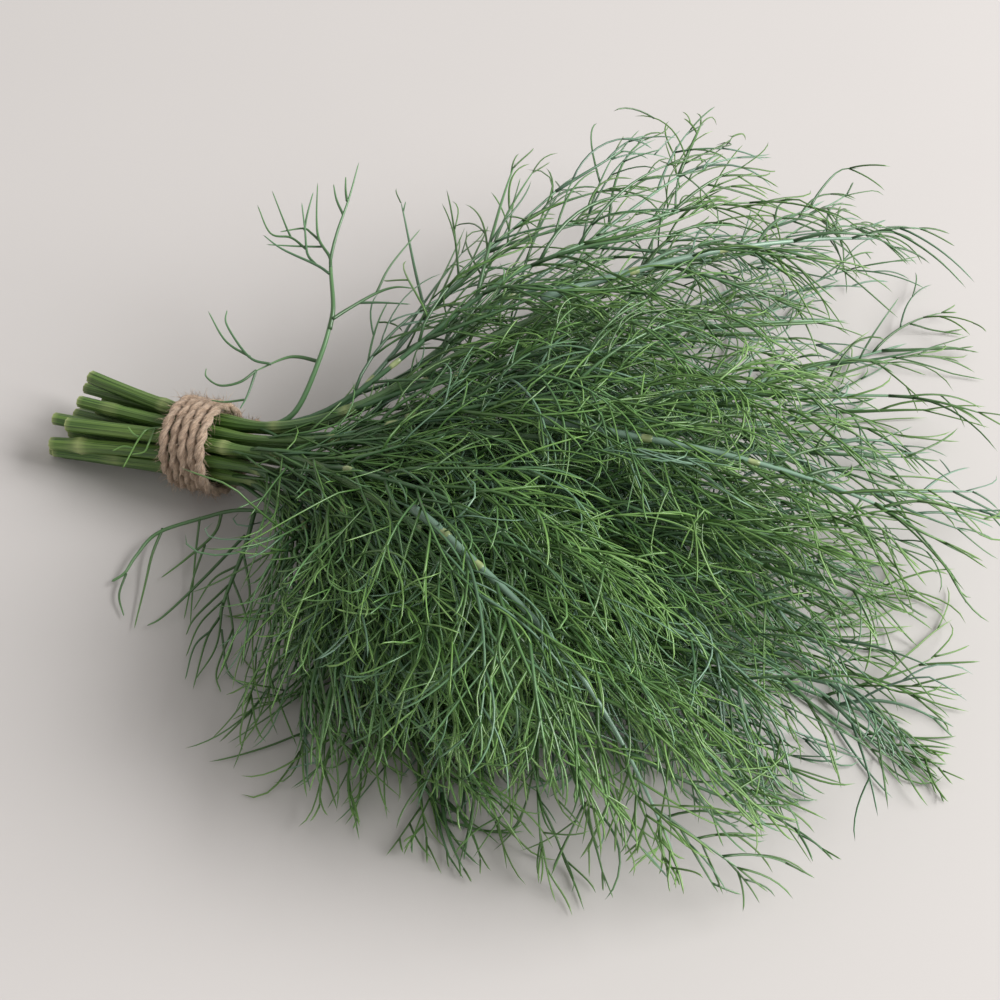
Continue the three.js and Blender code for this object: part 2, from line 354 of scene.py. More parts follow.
@dataclass(frozen=True)
class StalkFinish:
    """Stems: fine ribs of light and dark green along the stem, a bloom on the thin end that also darkens them
    soon past the tie, partly as painted shade, and pale cut ends.
    """

    name: str = "dill_stem"
    groove: Colour = (0.022, 0.060, 0.012)
    rib: Colour = (0.200, 0.325, 0.072)
    shaded: Colour = (0.092, 0.192, 0.036)
    patch: Colour = (0.06, 0.13, 0.02)
    bloom: Colour = (0.120, 0.205, 0.135)
    joint: Colour = (0.400, 0.450, 0.190)
    pith: Colour = (0.560, 0.600, 0.330)
    streak_scale: tuple[float, float] = (3.0, 34.0)
    streak_contrast: float = 3.6
    streak_start: float = -1.3
    patch_scale: float = 9.0
    patch_share: float = 0.35
    own_scale: float = 1.3
    bloom_green: float = 0.3
    roughness: float = 0.3
    roughness_spread: float = 0.25
    relief: float = 0.5
    relief_depth: float = 0.0004

    def make(self) -> bpy.types.Material:
        """Builds the material.

        Returns:
            The material.
        """
        sheet = NodeSheet(self.name)
        place = sheet.map_place("Grain")
        streak = sheet.noise(sheet.stretched(place, *self.streak_scale), scale=1.0, detail=4.0)
        patches = sheet.noise(place, self.patch_scale, detail=3.0)
        own = sheet.noise(place, self.own_scale, detail=1.0)
        rib = sheet.ramp((Stop(0.4, self.shaded), Stop(0.6, self.rib)), own)
        green = sheet.mix(sheet.line(streak, self.streak_contrast, self.streak_start), self.groove, rib)
        green = sheet.mix(sheet.math("MULTIPLY", patches, self.patch_share), green, self.patch)
        growth = sheet.add("ShaderNodeAttribute", attribute_name="Growth")
        split = sheet.add("ShaderNodeSeparateColor")
        sheet.feed(split.inputs["Color"], growth.outputs["Color"])
        bloom, joint, pith = split.outputs
        bloomed = sheet.mix(bloom, green, sheet.mix(self.bloom_green, self.bloom, green))
        colour = sheet.mix(pith, sheet.mix(joint, bloomed, self.joint), self.pith)
        return sheet.dress({
            "Base Color": colour,
            "Roughness": sheet.line(patches, self.roughness_spread, self.roughness),
            "Normal": sheet.bump(streak, self.relief, self.relief_depth),
        })


@dataclass(frozen=True)
class TwineFinish:
    """Jute: warm tan plies with fibres laid along them and darker streaks between, partly the jute's own tone
    and partly painted shade in the gaps between fibres.
    """

    name: str = "jute_twine"
    dark: Colour = (0.230, 0.142, 0.088)
    middle: Colour = (0.580, 0.415, 0.295)
    light: Colour = (0.880, 0.700, 0.530)
    fibre_scale: tuple[float, float] = (2.2, 44.0)
    fibre_turn: float = 0.12
    patch_scale: float = 0.9
    patch_share: float = 0.5
    roughness: float = 0.95
    roughness_spread: float = -0.15
    sheen: float = 0.25
    gloss: float = 0.2
    relief: float = 0.9
    relief_depth: float = 0.0009

    def make(self) -> bpy.types.Material:
        """Builds the material.

        Returns:
            The material.
        """
        sheet = NodeSheet(self.name)
        place = sheet.map_place("Grain")
        laid = sheet.stretched(place, *self.fibre_scale, turn=self.fibre_turn)
        fibre = sheet.noise(laid, scale=1.0, detail=5.0)
        patches = sheet.math("MULTIPLY", sheet.noise(place, self.patch_scale, detail=2.0), self.patch_share)
        # The dark stop is partly the jute's own tone and partly painted shade in the gaps between fibres.
        tan = sheet.ramp((Stop(0.36, self.dark), Stop(0.49, self.middle), Stop(0.62, self.light)), fibre)
        return sheet.dress({
            "Base Color": sheet.mix(patches, tan, self.middle),
            "Roughness": sheet.line(fibre, self.roughness_spread, self.roughness),
            "Sheen Weight": self.sheen,
            "Specular IOR Level": self.gloss,
            "Normal": sheet.bump(fibre, self.relief, self.relief_depth),
        })


@dataclass(frozen=True)
class TableFinish:
    """A plain pale matt floor."""

    name: str = "pale_floor"
    colour: Colour = (0.565, 0.545, 0.535)
    shade: Colour = (0.53675, 0.51775, 0.50825)
    cloud_scale: float = 6.0
    roughness: float = 0.85

    def make(self) -> bpy.types.Material:
        """Builds the material.

        Returns:
            The material.
        """
        sheet = NodeSheet(self.name)
        place = sheet.add("ShaderNodeTexCoord").outputs["Object"]
        cloud = sheet.noise(place, self.cloud_scale, detail=4.0)
        colour = sheet.mix(cloud, self.colour, self.shade)
        return sheet.dress({"Base Color": colour, "Roughness": self.roughness})


# ---------------------------------------------------------------------------------------------------
# Where the stalks and leaves lie
# ---------------------------------------------------------------------------------------------------


@dataclass(frozen=True)
class FanPlan:
    """The bunch's plan: the bundle inside the tie and the low dome of four rows past it.

    Bearings are in degrees, with the far side above zero. The near and far values draw the fan's two
    sides in, and edge, hollow and shoulder say where its last threads end, as shares of the reach.
    """

    stem_radius: float = 2.3
    stem_pitch: float = 4.95
    row_offsets: tuple[float, ...] = (-6.85, -2.5, 2.5, 6.85)
    tie_height: float = 16.7
    rise: float = math.tan(math.radians(9))
    rise_end: float = 40.0
    cut_length: float = 47.0
    cut_spread: float = 4.0
    flare: float = 0.0065
    reach: float = 238.0
    bend: float = 50.0
    bearings: tuple[tuple[float, ...], ...] = (
        (-45, -2, 42),
        (-58, -20, 18, 56),
        (-44, -8, 28, 64),
        (-28, 8, 44),
    )
    row_reach: tuple[float, ...] = (1.0, 1.0, 0.98, 0.93)
    heights: tuple[float, ...] = (3.2, 22.0, 37.5, 53.0)
    droops: tuple[float, ...] = (0.0, 8.0, 18.0, 27.0)
    start: float = 9.0
    full: float = 110.0
    droop_start: float = 135.0
    droop_most: float = 1.1
    near_least: float = 0.3
    near_power: float = 1.25
    far_corner: Range = (55.0, 68.0)
    far_cut: float = 0.45
    edge: float = 0.955
    far_edge: float = 0.065
    far_edge_bearings: Range = (5.0, 40.0)
    near_edge: float = 0.1
    near_edge_bearings: Range = (46.0, 60.0)
    hollow: float = 0.09
    hollow_start: Range = (26.0, 36.0)
    hollow_end: Range = (-56.0, -46.0)
    shoulder: float = 0.5
    shoulder_bearings: Range = (67.0, 76.0)

    def reach_at(self, bearing: Array) -> Array:
        """Works out how far the fan reaches from the tie.

        Args:
            bearing: Bearings in degrees, with the far side above zero.

        Returns:
            The distances.
        """
        bearing = np.asarray(bearing, float)
        near = self.reach * np.maximum(np.cos(np.radians(bearing)), self.near_least) ** self.near_power
        start, end = self.far_corner
        far = self.reach - self.far_cut * np.maximum(0.0, np.minimum(bearing, end) - start) ** 2
        return np.where(bearing < 0, near, far)

    def height(self, row: int, x: Array, y: Array) -> Array:
        """Returns the height of a row's middle surface over places on the table.

        Args:
            row: The row, counted from the table.
            x: Distances along the bunch.
            y: Distances to its left.

        Returns:
            The heights.
        """
        inside = self.tie_height + self.row_offsets[row] + self.rise * np.minimum(x, self.rise_end)
        reach = self.reach_at(np.degrees(np.arctan2(y, x)))
        out = np.maximum(0.0, np.hypot(x, y) - self.start)
        scaled = self.start + out * (self.reach - self.start) / (reach - self.start)
        droop = np.maximum(0.0, scaled - self.droop_start) / (self.reach - self.droop_start)
        dome = inside + (self.heights[row] - inside) * smoothstep(scaled, self.start, self.full)
        dome = dome - self.droops[row] * np.minimum(droop, self.droop_most) ** 2
        return np.where(np.asarray(x) <= self.start, inside, dome)

    def outline(self, bearing: Array) -> Array:
        """Works out where the last threads end.

        Args:
            bearing: Bearings in degrees, with the far side above zero.

        Returns:
            The distances from the tie.
        """
        share = self.edge + self.far_edge * smoothstep(bearing, *self.far_edge_bearings)
        share = share + self.near_edge * smoothstep(-bearing, *self.near_edge_bearings)
        within = smoothstep(-bearing, *self.hollow_start) * smoothstep(bearing, *self.hollow_end)
        shoulder = self.shoulder * smoothstep(bearing, *self.shoulder_bearings)
        return self.reach_at(bearing) * (share - self.hollow * within - shoulder)

    def spacing(self, row: int, x: Array, y: Array) -> Array:
        """Returns the distance between a row and its neighbour over places on the table."""
        lower = min(row, self.top_row - 1)
        return self.height(lower + 1, x, y) - self.height(lower, x, y)

    @property
    def top_row(self) -> int:
        """Returns the number of the highest row."""
        return len(self.row_offsets) - 1


PLAN = FanPlan()

# The tie's middle, measured from the low corner of the tie's box.
TIE_FROM_CORNER = (10.54, 14.05)


def tie_centre() -> Array:
    """Returns the middle of the tie in the part's frame, in millimetres, with Z on the table."""
    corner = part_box("twine_tie")[0]
    return np.array([corner.x / MM + TIE_FROM_CORNER[0], corner.y / MM + TIE_FROM_CORNER[1], 0.0])


class LeafKind(Enum):
    """A stalk's three leaves: side, node, blade start and end as shares of the reach, and levels."""

    LEFT = ("left", 1, 0.10, 0.27, 0.70, 0.31, 0.52)
    RIGHT = ("right", -1, 0.15, 0.34, 0.80, -0.31, 0.26)
    TIP = ("tip", 0, 0.46, 0.50, 0.90, 0.0, -0.13)

    def __init__(
        self, label: str, side: int, node: float, blade: float, end: float, level: float, ground: float
    ) -> None:
        """Keeps the leaf's numbers under their names.

        Args:
            label: The leaf's name.
            side: The side that it grows on, 1 for left, -1 for right and 0 for both.
            node: Where it leaves the stem, as a share of the reach.
            blade: Where its blade starts.
            end: Where its axis ends.
            level: Its height over its row, as a share of the distance between rows.
            ground: The same in the lowest row.
        """
        self.label, self.side = label, side
        self.node, self.blade, self.end = node, blade, end
        self.level, self.ground = level, ground


class StalkLine:
    """A stalk's line over the table: straight through the tie, then turning to its bearing."""

    step: float = 0.5
    first_node: float = 43.0
    first_outer_node: float = 19.0
    neck: Range = (4.0, 18.0)
    neck_loss: float = 0.85
    thinning: Range = (18.0, 70.0)
    thin_radius: float = 1.9
    overrun: float = 40.0

    def __init__(self, row: int, place: int) -> None:
        """Lays the line out.

        Args:
            row: The stalk's row, counted from the table.
            place: Its place in the row, from the near side.
        """
        bearings = PLAN.bearings[row]
        self.row = row
        self.bearing = bearings[place]
        self.side = (place - (len(bearings) - 1) / 2) * PLAN.stem_pitch
        self.reach = float(PLAN.reach_at(self.bearing)) * PLAN.row_reach[row]
        self.outer = {1: place == len(bearings) - 1, -1: place == 0}
        self.stations = np.arange(0.0, self.reach + self.overrun, self.step)
        turn = self.heading(self.stations[:-1] + self.step / 2)
        self.run_x = np.concatenate([[0.0], np.cumsum(np.cos(turn) * self.step)])
        self.run_y = self.side + np.concatenate([[0.0], np.cumsum(np.sin(turn) * self.step)])

    def heading(self, along: Array) -> Array:
        """Returns the heading in radians at distances along the line."""
        return math.radians(self.bearing) * smoothstep(along, PLAN.start, PLAN.start + PLAN.bend)

    def plan(self, along: Array, offset: Array = 0.0) -> tuple[Array, Array]:
        """Lays the line on the table.

        Args:
            along: Distances along the line.
            offset: How far to move sideways from it.

        Returns:
            The places' x and y.
        """
        along = np.asarray(along, float)
        ahead = np.maximum(along, 0.0)
        x = np.where(along > 0, np.interp(ahead, self.stations, self.run_x), along)
        straight = self.side * (1 + PLAN.flare * np.maximum(0.0, -along))
        y = np.where(along > 0, np.interp(ahead, self.stations, self.run_y), straight)
        turn = self.heading(along)
        return x - np.sin(turn) * offset, y + np.cos(turn) * offset

    def points(self, along: Array) -> Array:
        """Returns the stem's centre at distances along the line."""
        x, y = self.plan(along)
        return np.stack([x, y, PLAN.height(self.row, x, y)], axis=-1)

    def node_of(self, kind: LeafKind) -> float:
        """Finds where a leaf leaves the stem.

        Args:
            kind: Which of the stem's leaves it is.

        Returns:
            The distance along the line.
        """
        if kind is LeafKind.TIP:
            return self.reach * kind.node
        first = self.first_outer_node if self.outer[kind.side] else self.first_node
        return max(kind.node * self.reach, first)

    def radius(self, along: Array) -> Array:
        """Returns the stem's radius at distances along the line."""
        slender = PLAN.stem_radius - self.neck_loss * smoothstep(along, *self.neck)
        return slender - (PLAN.stem_radius - self.thin_radius) * smoothstep(along, *self.thinning)


# ---------------------------------------------------------------------------------------------------
# Tubes: many fine threads in one mesh
# ---------------------------------------------------------------------------------------------------


@dataclass
class Strands:
    """A family of threads with the same number of points.

    Attributes:
        points: Places, strand by strand.
        thick: Radii at every point.
        tint: Where each strand lies on the tint ramp.
        start: Where each strand's length begins on the map.
        stop: Where it ends.
    """

    points: Array
    thick: Array
    tint: Array
    start: float = 0.0
    stop: float = 1.0


class TubeMesh:
    """Collects closed tubes with a map of their length and tint, and writes them as one mesh."""

    row_height: float = 1.0 / 48.0
    map_margin: float = 0.03
    cap_width: float = 0.006
    spare_way: Place = (0.31, 0.22, 0.92)

    def __init__(self) -> None:
        """Starts with no tubes."""
        self.count = 0
        self.places: list[Array] = []
        self.quads: list[Array] = []
        self.tris: list[Array] = []
        self.quad_maps: list[Array] = []
        self.tri_maps: list[Array] = []

    def add_tubes(self, rings: Array, ends: Array, u: Array, v: Array) -> None:
        """Adds closed tubes with the same number of rings and sides.

        Args:
            rings: Places by tube, ring and side.
            ends: Each tube's first and last place, on its middle.
            u: Each ring's place along the map, with the last place's after them.
            v: Each ring's places across the map by tube, one more than there are sides.
        """
        tubes, count, sides = rings.shape[:3]
        self.places.append(np.concatenate([rings.reshape(tubes, -1, 3), ends], axis=1).reshape(-1, 3))
        side = np.arange(sides)
        after = (side + 1) % sides
        base = self.count + (count * sides + 2) * np.arange(tubes)[:, None]
        row = base[:, :, None] + sides * np.arange(count - 1)[:, None]
        quads = np.stack([row + side, row + after, row + sides + after, row + sides + side], axis=-1)
        self.quads.append(quads.reshape(-1, 4))
        low, high = base + count * sides, base + (count - 1) * sides
        starts = np.stack([base + after, base + side, low + 0 * side], axis=-1)
        stops = np.stack([high + side, high + after, low + 1 + 0 * side], axis=-1)
        self.tris += [starts.reshape(-1, 3), stops.reshape(-1, 3)]
        self.count += tubes * (count * sides + 2)
        one, two = v[:, :, :-1], v[:, :, 1:]
        u0, u1 = u[:-2, None], u[1:-1, None]
        low, high = ((u0, one[:, :-1]), (u0, two[:, :-1])), ((u1, two[:, 1:]), (u1, one[:, 1:]))
        self.quad_maps.append(self.corners(*low, *high))
        caps = ((0, u[0] + self.cap_width, u[0], two, one), (-1, u[-2], u[-1], one, two))
        for ring, near, far, first, last in caps:
            middle = (first[:, ring] + last[:, ring]) / 2
            self.tri_maps.append(self.corners((near, first[:, ring]), (near, last[:, ring]), (far, middle)))

    def corners(self, *places: tuple[Array, Array]) -> Array:
        """Returns the faces' map places, corner by corner."""
        spread = np.broadcast_arrays(*(part for place in places for part in place))
        return np.stack(spread, axis=-1).reshape(-1, 2)

    def add(self, strands: Strands, sides: int = 3) -> None:
        """Adds a family of threads as tubes.

        Args:
            strands: The threads.
            sides: How many sides each tube has.
        """
        points, thick = strands.points, strands.thick
        count, steps = points.shape[:2]
        if not count:
            return
        tangent = unit(np.gradient(points, axis=1))
        bend = np.cross(tangent[:, 0], tangent[:, -1])
        spare = np.cross(tangent[:, 0], np.array(self.spare_way))
        across = unit(np.cross(tangent, unit(bend + 0.05 * unit(spare))[:, None]))[:, :-1, None]
        upward = np.cross(tangent[:, :-1, None], across)
        turn = (2 * np.pi * np.arange(sides) / sides)[:, None]
        ring = (across * np.cos(turn) + upward * np.sin(turn)) * thick[:, :-1, None, None]
        along = self.map_margin + (1 - 2 * self.map_margin) * np.arange(steps) / (steps - 1)
        u = strands.start + (strands.stop - strands.start) * along
        low = strands.tint * (1 - self.row_height)
        v = low[:, None, None] + self.row_height * np.arange(sides + 1) / sides
        v = np.broadcast_to(v, (count, steps - 1, sides + 1))
        self.add_tubes(points[:, :-1, None] + ring, points[:, [0, -1]], u, v)

    def write(self, name: str, origin: Array, map_name: str = "OFBake") -> bpy.types.Object:
        """Writes one mesh object holding every tube.

        Args:
            name: The piece's name.
            origin: The tie's middle in the part's frame.
            map_name: The name of its map.

        Returns:
            The new object.
        """
        spots = (np.concatenate(self.places) + origin) * MM
        fours, threes = np.concatenate(self.quads), np.concatenate(self.tris)
        corners = np.concatenate([fours.ravel(), threes.ravel()])
        starts = np.concatenate([np.arange(len(fours)) * 4, 4 * len(fours) + np.arange(len(threes)) * 3])
        mesh = bpy.data.meshes.new(name)
        mesh.vertices.add(len(spots))
        mesh.vertices.foreach_set("co", spots.astype(np.float32).ravel())
        mesh.loops.add(len(corners))
        mesh.loops.foreach_set("vertex_index", corners.astype(np.int32))
        mesh.polygons.add(len(starts))
        mesh.polygons.foreach_set("loop_start", starts.astype(np.int32))
        maps = np.concatenate(self.quad_maps + self.tri_maps)
        mesh.uv_layers.new(name=map_name).data.foreach_set("uv", maps.astype(np.float32).ravel())
        mesh.update(calc_edges=True)
        mesh.shade_smooth()
        piece = bpy.data.objects.new(name, mesh)
        bpy.context.scene.collection.objects.link(piece)
        return piece


# ---------------------------------------------------------------------------------------------------
# Growth: from a frond's axis to its last threads
# ---------------------------------------------------------------------------------------------------


@dataclass(frozen=True)
class Habit:
    """How one generation of branches grows.

    Attributes:
        steps: Segments in each branch.
        steer: How strongly a branch turns to the flow, from 0 to 1 over its length.
        curl: Spread of the sideways curvature, in radians per millimetre.
        settle: How strongly a branch follows its row's height.
        drop: How fast a branch bends down under its weight, in radians per millimetre.
        hooks: Share of branches that end in a tight curl.
    """

    steps: int
    steer: float
    curl: float
    settle: float
    drop: float
    hooks: float = 0.0


HIGH_LIMBS = Habit(10, 0.3, 0.007, 0.45, 0.011)
LOW_LIMBS = Habit(9, 0.4, 0.006, 0.7, 0.004)
TWIGS = Habit(9, 0.08, 0.011, 0.1, 0.022, 0.12)
THREADS = Habit(6, 0.0, 0.020, 0.0, 0.026, 0.2)
TIP_THREADS = Habit(6, 0.1, 0.022, 0.1, 0.02, 0.2)


@dataclass
class Shoots:
    """Branches about to grow: start, heading, length, height, flow, tint and the bend they take over."""

    at: Array
    way: Array
    length: Array
    level: Array
    flow: Array
    tint: Array
    bend: Array

    def pick(self, chosen: Array) -> "Shoots":
        """Returns the chosen branches only."""
        return Shoots(*(getattr(self, part.name)[chosen] for part in fields(self)))

    def join(self, other: "Shoots") -> "Shoots":
        """Returns these branches and the other ones after them."""
        names = [part.name for part in fields(self)]
        return Shoots(*(np.concatenate([getattr(self, name), getattr(other, name)]) for name in names))


@dataclass(frozen=True)
class Branching:
    """How one generation of branches leaves its parents.

    Attributes:
        angle: The usual angle off the parent, in degrees.
        angles: Its spread.
        levels: Spread of the heights over the row.
        tints: Spread of the tints.
        curls: Spread of the curvature, in radians per millimetre.
        lift: Spread of the roll out of the leaf's plane, in radians.
        onward: How much the flow leans from the parent's heading to the fan's.
        rise: How far each branch starts off upwards, in radians.
        inward: How much each branch curves back to its parent's heading.
    """

    angle: float
    angles: float
    levels: float
    tints: float
    curls: float
    lift: float
    onward: float = 0.0
    rise: float = 0.0
    inward: float = 0.0


HIGH_PAIRS = Branching(46.0, 8.0, 6.5, 0.1, 0.008, lift=0.35, onward=0.3, rise=0.36, inward=0.004)
LOW_PAIRS = replace(HIGH_PAIRS, rise=0.14)
BASAL_BRANCHES = Branching(0.0, 0.0, 2.0, 0.08, 0.014, lift=0.6, onward=0.2, rise=0.35)
TWIG_BRANCHES = Branching(33.0, 11.0, 3.5, 0.12, 0.006, lift=0.4, onward=0.1, rise=0.12, inward=0.003)
THREAD_BRANCHES = Branching(27.0, 10.0, 2.5, 0.12, 0.014, lift=0.8, rise=0.06, inward=0.008)
TIP_BRANCHES = Branching(16.0, 5.0, 0.0, 0.06, 0.0, lift=0.6, onward=0.2)


@dataclass(frozen=True)
class Thinning:
    """Where the foliage thins out and how much: at the two sides, the rim, the shoulders and the neck.

    Sides and shoulders are bearings in degrees, rims are shares of the fan's reach, and reaches, neck
    and heart are distances from the tie.
    """

    far_side: Range = (5.0, 45.0)
    far_amount: float = 0.28
    near_side: Range = (22.0, 47.0)
    near_amount: float = 0.36
    rim: Range = (0.5, 0.82)
    near_rim: Range = (0.95, 1.15)
    near_rim_side: Range = (28.0, 40.0)
    near_rim_amount: float = 0.35
    shoulder: Range = (38.0, 56.0)
    shoulder_reach: Range = (105.0, 185.0)
    shoulder_amount: float = 0.78
    shoulder_lean: float = 4.0
    neck: Range = (24.0, 62.0)
    neck_side: Range = (-30.0, 10.0)
    neck_amount: float = 0.55
    neck_least: float = 0.6
    outward: Range = (0.0, 0.5)
    heart: Range = (40.0, 80.0)


THINNING = Thinning()


class FrondGrower:
    """Grows the threads of a leaf out of its axis, inside the room that the bunch has."""

    floor_gap: float = 0.9
    ceiling: float = 70.0
    near_side: float = -108.0
    far_side: float = 187.0
    tie_half: float = 21.0
    tie_end: float = 12.0
    roof_gap: float = 3.5
    roof_lift: float = 8.5
    roof_reach: Range = (30.0, 100.0)
    turn_room: float = 8.0
    dip_share: float = 0.6
    bend_start: float = 0.3
    bend_growth: float = 1.4
    outline_share: float = 0.92
    shortest_share: float = 0.3
    sharp_turn_room: float = 5.0
    look_ahead: float = 6.0
    level_room: float = 18.0
    steepest: float = 0.7
    hook_radius: Range = (4.0, 11.0)
    flow_lean: float = 1.15

    def __init__(self, row: int, seed: int) -> None:
        """Starts a grower for a leaf of a row."""
        self.row = row
        self.random = np.random.default_rng(seed)

    def scatter(self, count: int, spread: float) -> Array:
        """Returns random offsets with this spread."""
        return self.random.normal(0.0, spread, count)

    def grow(self, shoots: Shoots, habit: Habit) -> Array:
        """Grows branches step by step.

        Args:
            shoots: The branches to grow.
            habit: How they grow.

        Returns:
            Places, branch by branch.
        """
        count = len(shoots.at)
        at, way = shoots.at.copy(), unit(shoots.way)
        step = (shoots.length / habit.steps)[:, None]
        turn = shoots.bend + self.scatter(count, habit.curl)
        sway = self.scatter(count, habit.curl)
        dip = self.scatter(count, habit.curl * self.dip_share)
        hooked = self.random.random(count) < habit.hooks
        hook = np.where(hooked, np.sign(turn) / self.random.uniform(*self.hook_radius, count), 0.0)
        line = [at.copy()]
        for index in range(habit.steps):
            share = (index + 0.5) / habit.steps
            wanted = self.wanted_slope(at, way, shoots.level)
            pull = shoots.flow - way * (shoots.flow * way).sum(1, keepdims=True)
            side = unit(np.cross(UP, way))
            curve = turn * (self.bend_start + self.bend_growth * share) + sway * (share - 0.5)
            curve = curve + hook * max(0.0, share - 0.5) / 0.5
            flat = np.hypot(way[:, 0], way[:, 1])
            way = way + pull * habit.steer / habit.steps * 2.0 + side * curve[:, None] * step
            way[:, 2] += (wanted - way[:, 2]) * habit.settle / habit.steps
            way[:, 2] += (dip - habit.drop * flat) * step[:, 0]
            way = unit(self.kept_inside(at, way))
            at = at + way * step
            at[:, 2] = np.clip(at[:, 2], self.floor_gap, self.ceiling)
            line.append(at.copy())
        return np.stack(line, axis=1)

    def wanted_slope(self, at: Array, way: Array, level: Array) -> Array:
        """Works out the slopes that bring branches to their levels.

        Args:
            at: Where the branches are.
            way: Their headings.
            level: Their heights over their row.

        Returns:
            The slopes.
        """
        ground = PLAN.height(self.row, at[:, 0], at[:, 1])
        beyond = at + way * self.look_ahead
        slope = (PLAN.height(self.row, beyond[:, 0], beyond[:, 1]) - ground) / self.look_ahead
        climb = (ground + level - at[:, 2]) / self.level_room
        return np.clip(climb, -self.steepest, self.steepest) + slope

    def kept_inside(self, at: Array, way: Array) -> Array:
        """Turns headings away from the table, the bunch's two sides, its roof and the tie.

        Args:
            at: Where the branches are.
            way: Their headings.

        Returns:
            The new headings.
        """
        x, y, z = at.T
        wide, sharp = self.turn_room, self.sharp_turn_room
        way[:, 2] = np.clip(way[:, 2], (self.floor_gap - z) / sharp, (self.ceiling - z) / wide)
        way[:, 1] = np.clip(way[:, 1], (self.near_side - y) / wide, (self.far_side - y) / wide)
        back = np.where(np.abs(y) < self.tie_half, (self.tie_end - x) / wide, -1.0)
        way[:, 0] = np.maximum(way[:, 0], back)
        room = self.roof_gap + self.roof_lift * smoothstep(np.hypot(x, y), *self.roof_reach)
        roof = PLAN.height(PLAN.top_row, x, y) + room
        way[:, 2] = np.minimum(way[:, 2], (roof - z) / sharp)
        return way

    def branch(
        self,
        style: Branching,
        parents: Array,
        shares: Array,
        side: Array,
        angle: Array,
        length: Array,
        level: Array,
        tint: Array,
        bend: Array = 0.0,
        tilt: Array = 0.0,
    ) -> Shoots:
        """Starts one branch on each parent.

        Args:
            style: How the branches leave their parents.
            parents: The parents' places.
            shares: Where on its parent each branch starts.
            side: Which side it leaves by, 1 or -1.
            angle: The angle off the parent, in radians.
            length: Its length.
            level: Its height over its row.
            tint: Its tint.
            bend: The curvature that it takes over.
            tilt: How far the leaf's plane is rolled about the parent, in radians.

        Returns:
            The branches.
        """
        steps = parents.shape[1] - 1
        place = np.clip(shares * steps, 0, steps - 1e-3)
        index = place.astype(int)
        rows = np.arange(len(parents))
        first, second = parents[rows, index], parents[rows, index + 1]
        at = first + (second - first) * (place - index)[:, None]
        way = unit(second - first)
        left = unit(np.cross(UP, way))
        over = np.cross(way, left)
        roll = self.scatter(len(parents), style.lift) + side * tilt
        out = left * (side * np.cos(roll))[:, None] + over * np.sin(roll)[:, None]
        start = unit(way * np.cos(angle)[:, None] + out * np.sin(angle)[:, None])
        start = unit(start + style.rise * UP)
        bearing = np.arctan2(at[:, 1], at[:, 0]) * self.flow_lean
        radial = np.stack([np.cos(bearing), np.sin(bearing), 0 * bearing], axis=-1)
        flow = unit(way * (1 - style.onward) + radial * style.onward)
        fitting = self.within_outline(at, start, length)
        return Shoots(at, start, fitting, level, flow, tint, bend + np.zeros(len(at)))

    def within_outline(self, at: Array, way: Array, length: Array) -> Array:
        """Shortens branches that would run out of the fan's outline.

        Args:
            at: Where the branches start.
            way: Their headings.
            length: Their lengths.

        Returns:
            The new lengths.
        """
        end = at + way * (self.outline_share * length)[:, None]
        edge = PLAN.outline(np.degrees(np.arctan2(end[:, 1], end[:, 0])))
        over = np.maximum(0.0, np.hypot(end[:, 0], end[:, 1]) - edge)
        return np.maximum(length - over, self.shortest_share * length)

    def thinned(self, shoots: Shoots, rim: float, power: float = 1.0) -> Array:
        """Chooses which branches stay: all in the heart of the fan, few at its rim, neck and shoulders.

        Args:
            shoots: The branches.
            rim: The share that stays at the rim.
            power: How sharply the sides thin out.

        Returns:
            The chosen branches' numbers.
        """
        x, y = shoots.at[:, 0], shoots.at[:, 1]
        away = np.hypot(x, y)
        bearing = np.degrees(np.arctan2(y, x))
        thin = THINNING
        sides = thin.far_amount * smoothstep(bearing, *thin.far_side)
        sides = sides + thin.near_amount * smoothstep(-bearing, *thin.near_side)
        scaled = away / PLAN.reach_at(bearing) + power * sides
        kept = 1.0 - (1.0 - rim) * smoothstep(scaled, *thin.rim)
        corner = smoothstep(-bearing, *thin.near_rim_side) * smoothstep(scaled, *thin.near_rim)
        kept = kept * (1 - thin.near_rim_amount * power * corner)
        aside = np.where(bearing > 0, bearing, thin.shoulder_lean - bearing)
        shoulder = smoothstep(aside, *thin.shoulder) * (1 - smoothstep(away, *thin.shoulder_reach))
        deeper = thin.neck_least + (1 - thin.neck_least) * smoothstep(bearing, *thin.neck_side)
        neck = (1 - smoothstep(away, *thin.neck)) * deeper
        kept = kept * (1 - thin.shoulder_amount * shoulder * power) * (1 - thin.neck_amount * neck * power)
        outward = (shoots.way[:, 0] * x + shoots.way[:, 1] * y) / np.maximum(away, 1.0)
        kept = kept * np.maximum(smoothstep(outward, *thin.outward), smoothstep(away, *thin.heart))
        return np.flatnonzero(self.random.random(len(x)) < kept)


